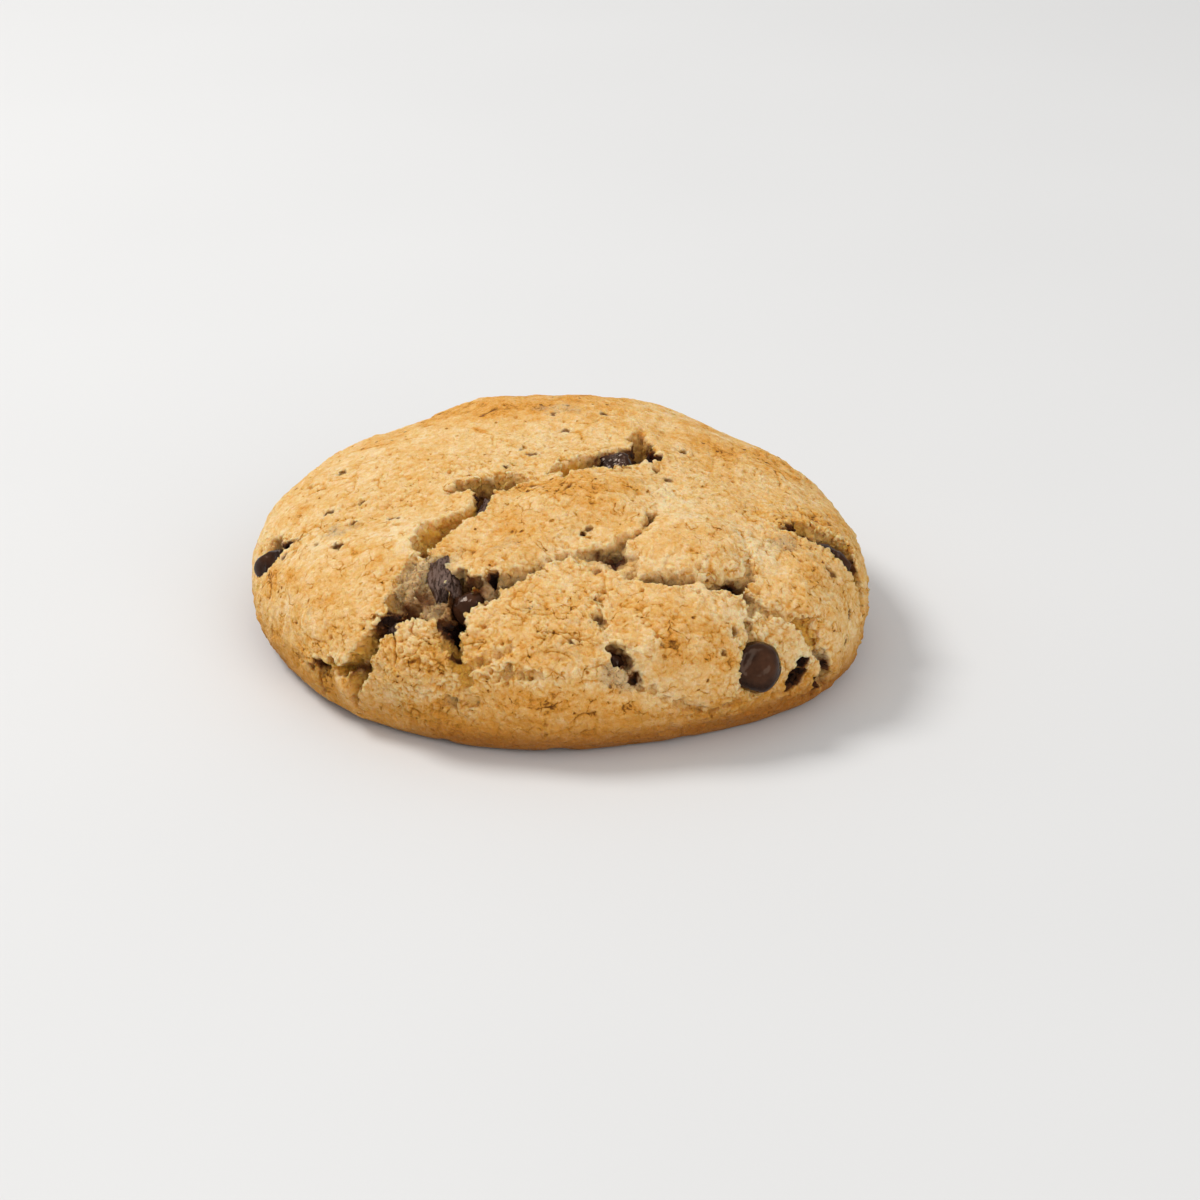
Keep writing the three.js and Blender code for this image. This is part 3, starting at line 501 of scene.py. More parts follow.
def profile_table():
    """The crust from crown to base edge: length along it, radius as a share of the outline, and height."""
    a = np.linspace(0, math.pi / 2, PROFILE_STEPS + 1)
    b = np.linspace(0, math.pi / 2, PROFILE_STEPS // 3 + 1)[1:]
    crown = WIDEST_HEIGHT + (HEIGHT - WIDEST_HEIGHT) * np.maximum(np.cos(a), 0) ** (2 / CROWN_POWER)
    share = np.concatenate([np.sin(a), BASE_SHARE + (1 - BASE_SHARE) * np.cos(b)])
    z = np.concatenate([crown, WIDEST_HEIGHT * (1 - np.sin(b))])
    steps = np.hypot(np.diff(share * MEAN_RADIUS), np.diff(z))
    return np.concatenate([[0], np.cumsum(steps)]), share, z


PROFILE = profile_table()
CRUST_LENGTH = PROFILE[0][-1]


def on_dome(u, v):
    """Points of the plain dome for places on the sheet."""
    along, share, z = PROFILE
    length = np.hypot(u, v)
    turn = np.arctan2(v, u)
    radius = np.interp(length, along, share) * outline_radius(turn)
    return np.stack([radius * np.cos(turn) + CENTRE_SHIFT[0], radius * np.sin(turn) + CENTRE_SHIFT[1],
                     np.interp(length, along, z)], -1)


def out_of_dome(u, v):
    """Directions out of the plain dome."""
    step = 0.1
    across = on_dome(u + step, v) - on_dome(u - step, v)
    back = on_dome(u, v + step) - on_dome(u, v - step)
    normal = np.cross(across, back)
    return normal / (np.linalg.norm(normal, axis=-1, keepdims=True) + 1e-9)


def sheet_places(points):
    """For points in or near the crust: their places on the sheet, and their height over the plain dome."""
    along, share, z = PROFILE
    x, y = points[:, 0] - CENTRE_SHIFT[0], points[:, 1] - CENTRE_SHIFT[1]
    turn = np.arctan2(y, x)
    radius = np.hypot(x, y) / outline_radius(turn) * MEAN_RADIUS
    # A table over radius and height: the nearest length along the profile, and the height over it.
    table_r = np.linspace(0, MEAN_RADIUS + 4, 180)
    table_z = np.linspace(-1, HEIGHT + 6, 120)
    grid_r, grid_z = np.meshgrid(table_r, table_z, indexing="ij")
    px, pz = share * MEAN_RADIUS, z
    apart = (grid_r.ravel()[:, None] - px) ** 2 + (grid_z.ravel()[:, None] - pz) ** 2
    nearest = apart.argmin(1)
    slope_r, slope_z = np.gradient(px), np.gradient(pz)
    side = slope_r[nearest] * (grid_z.ravel() - pz[nearest])
    side = side - slope_z[nearest] * (grid_r.ravel() - px[nearest])
    over = np.sqrt(apart[np.arange(len(nearest)), nearest]) * np.sign(side)
    length_table = along[nearest].reshape(grid_r.shape)
    over_table = over.reshape(grid_r.shape)
    i = np.clip(np.interp(radius, table_r, np.arange(len(table_r))), 0, len(table_r) - 1.001)
    j = np.clip(np.interp(points[:, 2], table_z, np.arange(len(table_z))), 0, len(table_z) - 1.001)
    i0, j0 = i.astype(int), j.astype(int)
    fi, fj = i - i0, j - j0

    def looked_up(table):
        low = table[i0, j0] * (1 - fi) + table[i0 + 1, j0] * fi
        high = table[i0, j0 + 1] * (1 - fi) + table[i0 + 1, j0 + 1] * fi
        return low * (1 - fj) + high * fj

    length = looked_up(length_table)
    return length * np.cos(turn), length * np.sin(turn), looked_up(over_table)


def blot(u, v, middle, reach, turn):
    """A soft patch on the sheet, 1 in its middle."""
    c, s = math.cos(math.radians(turn)), math.sin(math.radians(turn))
    du, dv = u - middle[0], v - middle[1]
    return np.exp(-(((du * c + dv * s) / reach[0]) ** 2 + ((dv * c - du * s) / reach[1]) ** 2) ** 1.5)


def blots(u, v, patches):
    """Several soft patches, of which the strongest counts."""
    total = np.zeros_like(u)
    for middle, reach, turn, strength in patches:
        total = np.maximum(total, strength * blot(u, v, middle, reach, turn))
    return total


def swell_height(u, v):
    """How high the soft mounds lift the crust."""
    return sum(rise * blot(u, v, middle, reach, turn) for middle, reach, turn, rise in SWELLS)


def rolled(outside, shoulder):
    """A rounded shoulder: 0 at the edge of a split, 1 from the shoulder's reach on."""
    if shoulder == 0:
        return 1.0
    t = np.clip(outside / shoulder, 0, 1)
    return np.sqrt(1 - (1 - t) ** 2)


def split_relief(u, v, bite):
    """Depth of the splits, lift of the crust beside them, distance to their edges, and the dark painted in
    the pits: painted shade, with melted chocolate in some.

    bite eats into a split's edge, in millimetres.
    """
    depth = np.zeros_like(u)
    lift = np.zeros_like(u)
    gap_all = np.full_like(u, 99.0)
    chocolate_and_shade = np.zeros_like(u)
    for lift_left, lift_right, roll_left, roll_right, sloping, route in SPLITS:
        ends = np.array(route)
        low = ends[:, :2].min(0) - SPLIT_REACH
        high = ends[:, :2].max(0) + SPLIT_REACH
        near = np.flatnonzero((u > low[0]) & (u < high[0]) & (v > low[1]) & (v < high[1]))
        pu, pv = u[near], v[near]
        gap = np.full(len(near), 99.0)
        deep = np.zeros(len(near))
        half = np.ones(len(near))
        side = np.zeros(len(near))
        for (au, av, aw, ad), (bu, bv, bw, bd) in zip(route, route[1:]):
            du, dv = bu - au, bv - av
            t = np.clip(((pu - au) * du + (pv - av) * dv) / (du * du + dv * dv), 0, 1)
            width = aw + t * (bw - aw)
            here = np.hypot(pu - au - t * du, pv - av - t * dv) - width
            closer = here < gap
            gap = np.where(closer, here, gap)
            deep = np.where(closer, ad + t * (bd - ad), deep)
            half = np.where(closer, width, half)
            side = np.where(closer, np.where(du * (pv - av) - dv * (pu - au) > 0, 1.0, -1.0), side)
        edge = gap + bite[near]
        walls = ease(edge, WALL_OUT, -WALL_IN)
        if sloping == BOWL:
            walls = walls * np.sqrt(1 - np.clip(1 + edge / half, 0, 0.95) ** 2)
        elif sloping:
            # Across the split from its steep side, 0, to the top of its sloping wall, 1.
            across = np.clip(0.5 + 0.5 * side * sloping * (half + edge) / half, 0, 1)
            walls = walls * (1 - across) ** 0.4 * 1.1
        depth[near] = np.maximum(depth[near], deep * walls)
        outside = np.maximum(gap, 0)
        left = side > 0
        share = np.clip(deep / FULL_LIFT_DEPTH, 0.1, 1)
        raised = np.where(left, lift_left * rolled(outside, roll_left),
                          lift_right * rolled(outside, roll_right))
        lip = np.where(left, roll_left == 0, roll_right == 0) * 0.5 * np.exp(-((outside / LIP_REACH) ** 2))
        raised = share * (lip + raised * np.exp(-((outside / LIFT_REACH) ** 2)))
        lift[near] = np.maximum(lift[near], raised)
        gap_all[near] = np.minimum(gap_all[near], edge)
    pinholes = tuple((*pinhole, PINHOLE_SHADE) for pinhole in PINHOLES)
    for (mu, mv), radius, deep, dark in PITS + pinholes:
        away = np.hypot(u - mu, v - mv) + 0.6 * bite
        depth = np.maximum(depth, deep * ease(away, radius + 0.15, 0.5 * radius))
        gap_all = np.minimum(gap_all, away - radius)
        # Each pit is painted dark inside: painted shade, with melted chocolate in some.
        chocolate_and_shade = np.maximum(chocolate_and_shade, dark * ease(away, radius + 0.2, 0.85 * radius))
    return depth, lift, gap_all, chocolate_and_shade


# === The dough ===

def square_to_disc(a, b):
    """A square pressed into a disc, so that its cells keep nearly the same size."""
    wide = np.abs(a) > np.abs(b)
    radius = np.where(wide, a, b)
    safe_a = np.where(a == 0, 1, a)
    safe_b = np.where(b == 0, 1, b)
    turn = np.where(wide, math.pi / 4 * (b / safe_a), math.pi / 2 - math.pi / 4 * (a / safe_b))
    turn = np.where((a == 0) & (b == 0), 0, turn)
    return radius * np.cos(turn), radius * np.sin(turn)


def torn(u, v, plain):
    """Places pushed about a little, and the bites out of the edges of the splits that make them ragged."""
    for far, cell, seed_right, seed_back in TEARS:
        u = u + far * smooth_noise(plain, cell, seed_right)
        v = v + far * smooth_noise(plain, cell, seed_back)
    crumb, _, own = grain_noise(plain, TORN_GRAIN, 21)
    return u, v, 1.7 * (crumb - 0.45) + 0.9 * (own - 0.5)


def sheet_surface():
    """Corners and faces of the split crust on its flat base, before any crumb."""
    n = SHEET_CELLS
    side = np.linspace(-1, 1, n + 1)
    b, a = np.meshgrid(side, side, indexing="ij")
    a, b = square_to_disc(a.ravel(), b.ravel())
    u, v = a * CRUST_LENGTH, b * CRUST_LENGTH
    plain, out = on_dome(u, v), out_of_dome(u, v)
    free = ease(CRUST_LENGTH - np.hypot(u, v), 0, RIM_HOLD)
    wu, wv, bite = torn(u, v, plain)
    depth, lift, _, _ = split_relief(wu, wv, bite)
    lumps = 0.45 * rough_noise(plain, 9.0, 31, 3) + 0.35 * rough_noise(plain, 3.6, 37, 2)
    floor_lumps = ease(depth, 0.6, 1.8) * 0.7 * rough_noise(plain, 2.4, 41, 2)
    height = free * (swell_height(u, v) + lumps + lift - depth + floor_lumps)
    for (mu, mv), radius, middle in LUMPS:
        inside = np.maximum(radius ** 2 - (u - mu) ** 2 - (v - mv) ** 2, 0)
        height = np.where(inside > 0, np.maximum(height, middle + np.sqrt(inside)), height)
    points = plain + out * height[:, None]
    points[:, 2] = np.maximum(points[:, 2], 0.0)
    row = n + 1
    index = np.arange(row * row).reshape(row, row)
    quads = np.stack([index[:-1, :-1], index[:-1, 1:], index[1:, 1:], index[1:, :-1]], -1).reshape(-1, 4)
    ring = np.concatenate([index[0, :-1], index[:-1, -1], index[-1, :0:-1], index[:0:-1, 0]])
    points[ring, 2] = 0.0
    return points, quads, ring


def mesh_from(name, points, faces):
    """A new mesh of these corners and faces."""
    mesh = bpy.data.meshes.new(name)
    mesh.from_pydata(points, [], faces)
    mesh.validate()
    return mesh


def read_vectors(collection, name):
    """One vector of each item of a mesh's collection, as rows."""
    values = np.empty(len(collection) * 3, np.float32)
    collection.foreach_get(name, values)
    return values.reshape(-1, 3)


def mesh_points(mesh):
    """The places of a mesh's corners, in its own unit."""
    return read_vectors(mesh.vertices, "co")


def mesh_normals(mesh):
    """The directions out of a mesh at its corners."""
    return read_vectors(mesh.vertex_normals, "vector")


def place_points(mesh, points):
    """Put a mesh's corners at these places, given in millimetres. The mesh is then in metres."""
    mesh.vertices.foreach_set("co", (points * MM).astype(np.float32).ravel())
    mesh.update()


def with_modifier(mesh, kind, **settings):
    """A new mesh: the old one with one modifier applied."""
    holder = bpy.data.objects.new("holder", mesh)
    bpy.context.scene.collection.objects.link(holder)
    modifier = holder.modifiers.new(kind.lower(), kind)
    for key, value in settings.items():
        setattr(modifier, key, value)
    bpy.context.view_layer.update()
    graph = bpy.context.evaluated_depsgraph_get()
    result = bpy.data.meshes.new_from_object(holder.evaluated_get(graph))
    bpy.data.objects.remove(holder)
    bpy.data.meshes.remove(mesh)
    return result


def drop_specks(mesh):
    """Delete the few specks that are not joined to the mesh's largest part."""
    ends = np.empty(len(mesh.edges) * 2, np.int32)
    mesh.edges.foreach_get("vertices", ends)
    first, second = ends.reshape(-1, 2).T
    # Every corner takes the lowest number among its neighbours until each part has one number.
    part = np.arange(len(mesh.vertices))
    while True:
        lowest = np.minimum(part[first], part[second])
        joined = part.copy()
        np.minimum.at(joined, first, lowest)
        np.minimum.at(joined, second, lowest)
        joined = joined[joined]
        if (joined == part).all():
            break
        part = joined
    loose = np.flatnonzero(part != np.bincount(part).argmax())
    work = bmesh.new()
    work.from_mesh(mesh)
    work.verts.ensure_lookup_table()
    bmesh.ops.delete(work, geom=[work.verts[i] for i in loose], context="VERTS")
    work.to_mesh(mesh)
    work.free()


def facing_down(normals):
    """1 on the underside, 0 on the sides and the top."""
    return ease(-normals[:, 2], 0.55, 0.9)


def crumb_relief(points, normals, u, v, over, gap):
    """The crumb on the even skin: how far each point moves out, and how deep in a crevice it lies, 0 to 1,
    which is painted as shade.
    """
    below = ease(over, -0.6, -2.2)  # inside a split
    flank = ease(points[:, 2], 0.6, 3.0)
    under = facing_down(normals)
    # The crust is smooth at the back and crumbly on the front and beside the splits.
    coarse = 0.8 - 0.5 * blots(u, v, SMOOTH_CRUST) + 0.45 * smooth_noise(points, 9.0, 51)
    coarse = np.clip(coarse, 0.2, 1.2) + 0.5 * ease(gap, 2.5, 0.0)
    for middle, reach, turn, strength in CRUMBLY:
        coarse = coarse + strength * blot(u, v, middle, reach, turn)
    coarse = np.maximum(coarse + 0.5 * blots(u, v, SMEARED), 1.2 * below)
    # Every point lies in a flake, a small grain and a fine grain, with seams between them.
    bent = points + 0.55 * np.stack([smooth_noise(points, 2.4, 61 + i) for i in range(3)], -1)
    bent[:, 2] *= 1.25
    middle, border, own = grain_noise(bent, FLAKE, 71)
    patch = ease(smooth_noise(points, 5.5, 95), -0.3, 0.5)
    seam = ease(border, 0.16, 0.0) * ease(own, 0.1, 0.5) * patch
    small_middle, small_border, small_own = grain_noise(bent, SMALL_GRAIN, 76)
    small_seam = ease(small_border, 0.18, 0.0) * ease(small_own, 0.3, 0.7)
    fine_middle, _, fine_own = grain_noise(bent, FINE_GRAIN, 81)
    fissure = ease(np.abs(smooth_noise(bent, 4.6, 91)), 0.05, 0.0)
    fissure = fissure * ease(smooth_noise(points, 6.0, 92), 0.0, 0.4)
    flake = 0.26 * (own - 0.5) + 0.24 * (0.45 - middle) - 0.26 * seam
    small = 0.18 * (small_own - 0.5) + 0.20 * (0.45 - small_middle) - 0.18 * small_seam
    fine = 0.18 * (0.45 - fine_middle) + 0.10 * (fine_own - 0.5)
    hole_middle, _, hole_own = grain_noise(points, HOLE_SPACING, 101)
    hole = ease(hole_middle, 0.17, 0.09) * ease(hole_own, 0.6, 0.64)
    push = coarse * (flake + small + fine) - 0.40 * fissure * coarse - 0.8 * hole
    wall_middle, wall_border, _ = grain_noise(bent, WALL_GRAIN, 115)
    push += below * (0.9 * (0.5 - wall_middle) + 0.3 * rough_noise(points, 1.7, 111, 2))
    push = push * (1 - under) * (0.3 + 0.7 * flank)
    # Painted shade: how dark the seams, fissures, holes and split walls are painted, 0 to 1.
    crevice_shade = coarse * (0.5 * seam + 0.4 * small_seam) + 0.8 * fissure + 0.9 * hole - 0.9 * push
    crevice_shade = ease(crevice_shade + 0.7 * below * ease(wall_border, 0.2, 0.0), 0.05, 0.85)
    # The underside is flat where it rests, with small hollows pressed up into it.
    pressed = ease(smooth_noise(points, 3.0, 121), 0.1, 0.6) * 0.35
    return push - under * pressed, crevice_shade * (1 - under)


def dough_mesh(settings):
    """The baked dough: the split crust, an even skin over it, the crumb and the patches of colour."""
    points, quads, ring = sheet_surface()
    middle = len(points)
    points = np.vstack([points, [[CENTRE_SHIFT[0], CENTRE_SHIFT[1], 0.0]]])
    base = [(middle, int(b), int(a)) for a, b in zip(ring, np.roll(ring, -1))]
    rough = mesh_from("dough_rough", points, quads.tolist() + base)
    skin = with_modifier(rough, "REMESH", mode="VOXEL", voxel_size=VOXEL)
    points, normals = mesh_points(skin).astype(float), mesh_normals(skin)
    u, v, over = sheet_places(points)
    wu, wv, bite = torn(u, v, on_dome(u, v))
    _, lift, gap, chocolate_and_shade = split_relief(wu, wv, bite)
    over = over - swell_height(u, v) - lift
    push, crevice_shade = crumb_relief(points, normals, u, v, over, gap)
    points = points + normals * (settings.crumb * push)[:, None]
    points[:, 2] = np.maximum(points[:, 2], 0.0)
    place_points(skin, points)
    skin.calc_loop_triangles()
    share = settings.faces / len(skin.loop_triangles)
    tree = KDTree(len(points))
    for i, place in enumerate(points * MM):
        tree.insert(place, i)
    tree.balance()
    mesh = with_modifier(skin, "TRIANGULATE")
    mesh = with_modifier(mesh, "DECIMATE", ratio=share)
    drop_specks(mesh)
    # Each corner that is left takes its values from the nearest corner of the skin.
    source = np.array([tree.find(vertex.co)[1] for vertex in mesh.vertices])
    final = mesh_points(mesh) / MM
    carried = (values[source] for values in (u, v, over, crevice_shade, chocolate_and_shade, gap))
    paint_dough(mesh, final, mesh_normals(mesh), *carried)
    return mesh


def add_attribute(mesh, name, values):
    """Store a value from 0 to 1 at each corner, for the material."""
    layer = mesh.attributes.new(name, "FLOAT", "POINT")
    layer.data.foreach_set("value", np.clip(values, 0, 1).astype(np.float32))


def paint_dough(mesh, points, normals, u, v, over, crevice_shade, chocolate_and_shade, gap):
    """The patches of colour that follow the shape: browning, pale dough, smears and melted chocolate, painted
    shade in the crevices, deep places and pits and partly on the low sides, and painted light on the lips of
    the splits.
    """
    drift = rough_noise(points, 7.0, 201, 3)
    brown = blots(u + 2 * drift, v + 2 * drift, BROWNED)
    mottle = 0.75 * rough_noise(points, 3.6, 205, 3) + 0.25 * smooth_noise(points, 1.2, 209)
    brown = ease(brown + mottle, 0.26, 1.05)
    pale = blots(u + 2 * drift, v - 2 * drift, PALE)
    ragged = rough_noise(points, 1.6, 211, 3)
    inside = ease(over, -0.3, -1.6)
    amber = blots(u, v, AMBER)
    crevice_shade = crevice_shade * (1 - 0.6 * amber * inside)
    smear = blots(u, v, SMEARED)
    smear = ease(smear + 0.45 * ragged * ease(smear, 0.05, 0.3), 0.25, 0.75) * 0.9
    # Painted dark in the splits and pits: melted chocolate in some places, painted shade in deep holes and
    # creases in others.
    chocolate_and_shade = np.maximum(blots(u + ragged, v - ragged, CHOCOLATE_AND_SHADE_SPOTS) * ease(over, -0.15, -0.7), chocolate_and_shade)
    # Darker low on the sides: browning, and partly painted shade.
    low = ease(points[:, 2], 11.0, 2.0) * (1 - 0.45 * blot(u, v, *PALER_FLANK))
    low = low + 0.4 * blot(u, v, *DARKER_FLANK)
    patches = {
        "browned": brown,
        "sleek": blot(u, v, *WITHOUT_HAIRLINES),
        "pale": pale,
        "inside": inside,
        "amber": amber,
        # painted shade deep in the splits
        "deep": ease(over, -2.0, -4.6),
        # painted light along the lips of the splits
        "lip": ease(gap, 1.6, 0.2) * ease(over, -0.7, 0.0),
        "low": low,
        "smear": smear,
        "chocolate_and_shade": chocolate_and_shade,
        "crevice_shade": crevice_shade,
        "underside": facing_down(normals),
    }
    for name, values in patches.items():
        add_attribute(mesh, name, values)


# === Chips ===

def chip_directions(middle, turn):
    """At a chip's middle: its length along the crust, the direction across that, and the direction out."""
    u, v, _ = (float(place[0]) for place in sheet_places(middle[None]))
    out = out_of_dome(np.array([u]), np.array([v]))[0]
    c, s = math.cos(math.radians(turn)), math.sin(math.radians(turn))
    along = on_dome(np.array([u + c]), np.array([v + s]))[0] - on_dome(np.array([u]), np.array([v]))[0]
    along = along - out * (along @ out)
    along = along / np.linalg.norm(along)
    return along, np.cross(out, along), out


def with_broken_faces(arm, along, across, out, count, seed):
    """Points round a chip's middle, cut off flat in a few places on the chip's outer side."""
    reach = np.linalg.norm(arm, axis=1).mean()
    for i in range(count):
        lean = hashed(*(np.full(3, part, np.uint32) for part in (i, seed, 7)), seed)[:1] * 2 * math.pi
        face = out * (0.35 + 0.3 * i) + along * math.cos(lean[0]) + across * math.sin(lean[0])
        face = face / np.linalg.norm(face)
        beyond = np.maximum(arm @ face - BROKEN_FACE * reach, 0)
        arm = arm - np.outer(beyond * BROKEN_SHARE, face)
    return arm


def chip_mesh(name, settings):
    """A baked chip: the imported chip's form, stretched, softened, dented and a little melted."""
    stand_out, long, broad, thick, turn, cling = CHIP_FORMS[name]
    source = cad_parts[name].data.copy()
    seed = CHIP_SEED + CHIP_SEED_STEP * CHIP_NAMES.index(name)
    merged = with_modifier(source, "WELD", merge_threshold=0.00002)
    mesh = with_modifier(merged, "SUBSURF", levels=3, render_levels=3)
    points = mesh_points(mesh).astype(float) / MM
    middle = (points.min(0) + points.max(0)) / 2
    along, across, out = chip_directions(middle, turn)
    arm = points - middle
    for stretch, way in ((long, along), (broad, across), (thick, out)):
        arm = arm + np.outer((arm @ way) * (stretch - 1), way)
    if cling > SMOOTH_CHIP:
        arm = with_broken_faces(arm, along, across, out, settings.breaks, seed)
    ray = arm / (np.linalg.norm(arm, axis=1, keepdims=True) + 1e-6)
    dent = (0.4 + 0.4 * cling) * smooth_noise(points, 2.8, seed)
    dent = dent + (0.12 + 0.3 * cling) * rough_noise(points, 1.3, seed + 3, 2)
    slid_along, slid_across = SLID.get(name, (0, 0))
    slid = along * slid_along + across * slid_across
    points = middle + slid + arm + out * stand_out + ray * (settings.dent * dent)[:, None]
    for chip, (dip_along, dip_across, dip_out), deep, reach in DIPS:
        if chip == name:
            place = middle + along * dip_along + across * dip_across + out * (dip_out + stand_out)
            away = np.linalg.norm(points - place, axis=1)
            points = points - np.outer(deep * np.exp(-((away / reach) ** 2)), out)
    place_points(mesh, points)
    mesh.shade_smooth()
    ragged = rough_noise(points, 1.4, seed + 5, 3)
    add_attribute(mesh, "dusted", ease(ragged + 1.1 * cling - 0.45, 0.1, 0.5))
    return mesh


# === Materials ===

def opaque(colour):
    """A colour with full cover."""
    return (*colour, 1)


class Nodes:
    """A small helper that adds and joins shader nodes."""

    def __init__(self, name):
        self.material = bpy.data.materials.new(name)
        self.material.use_nodes = True
        self.tree = self.material.node_tree
        self.tree.nodes.clear()

    def feed(self, socket, value):
        """Join another node to a socket, or set the socket to a number or a colour."""
        if isinstance(value, bpy.types.NodeSocket):
            self.tree.links.new(value, socket)
        else:
            socket.default_value = value

    def add(self, kind, inputs=None, **settings):
        """A new node, with its settings and what feeds its sockets."""
        node = self.tree.nodes.new(kind)
        for key, value in settings.items():
            setattr(node, key, value)
        for key, value in (inputs or {}).items():
            self.feed(node.inputs[key], value)
        return node

    def attribute(self, name):
        """A value stored at the mesh's corners."""
        return self.add("ShaderNodeAttribute", attribute_name=name).outputs["Fac"]

    def noise(self, place, scale, detail=3.0, roughness=0.55):
        inputs = {"Vector": place, "Scale": scale, "Detail": detail, "Roughness": roughness}
        return self.add("ShaderNodeTexNoise", inputs).outputs["Fac"]

    def ramp(self, value, low, high, to_low=0.0, to_high=1.0):
        """A value taken from one range to another, and held inside it."""
        inputs = {"Value": value, "From Min": low, "From Max": high, "To Min": to_low, "To Max": to_high}
        return self.add("ShaderNodeMapRange", inputs, clamp=True).outputs["Result"]

    def maths(self, operation, a, b):
        return self.add("ShaderNodeMath", {0: a, 1: b}, operation=operation).outputs[0]

    def mix(self, share, a, b):
        """The colour a, turning to b as share goes from 0 to 1."""
        return self.add("ShaderNodeMix", {0: share, 6: a, 7: b}, data_type="RGBA").outputs[2]

    def cells(self, place, scale, **settings):
        """Packed cells of random places."""
        return self.add("ShaderNodeTexVoronoi", {"Vector": place, "Scale": scale}, **settings)

    def channel(self, colour, index):
        """One of a colour's three parts."""
        return self.add("ShaderNodeSeparateColor", {"Color": colour}).outputs[index]

    def vectors(self, operation, *inputs):
        node = self.add("ShaderNodeVectorMath", dict(enumerate(inputs)), operation=operation)
        return node.outputs["Vector"]

    def bump(self, height, strength, distance):
        inputs = {"Height": height, "Strength": strength, "Distance": distance}
        return self.add("ShaderNodeBump", inputs).outputs["Normal"]

    def finish(self, inputs):
        """Lay the finished surface on, and return the material."""
        shader = self.add("ShaderNodeBsdfPrincipled", inputs)
        output = self.add("ShaderNodeOutputMaterial")
        self.tree.links.new(shader.outputs[0], output.inputs[0])
        return self.material


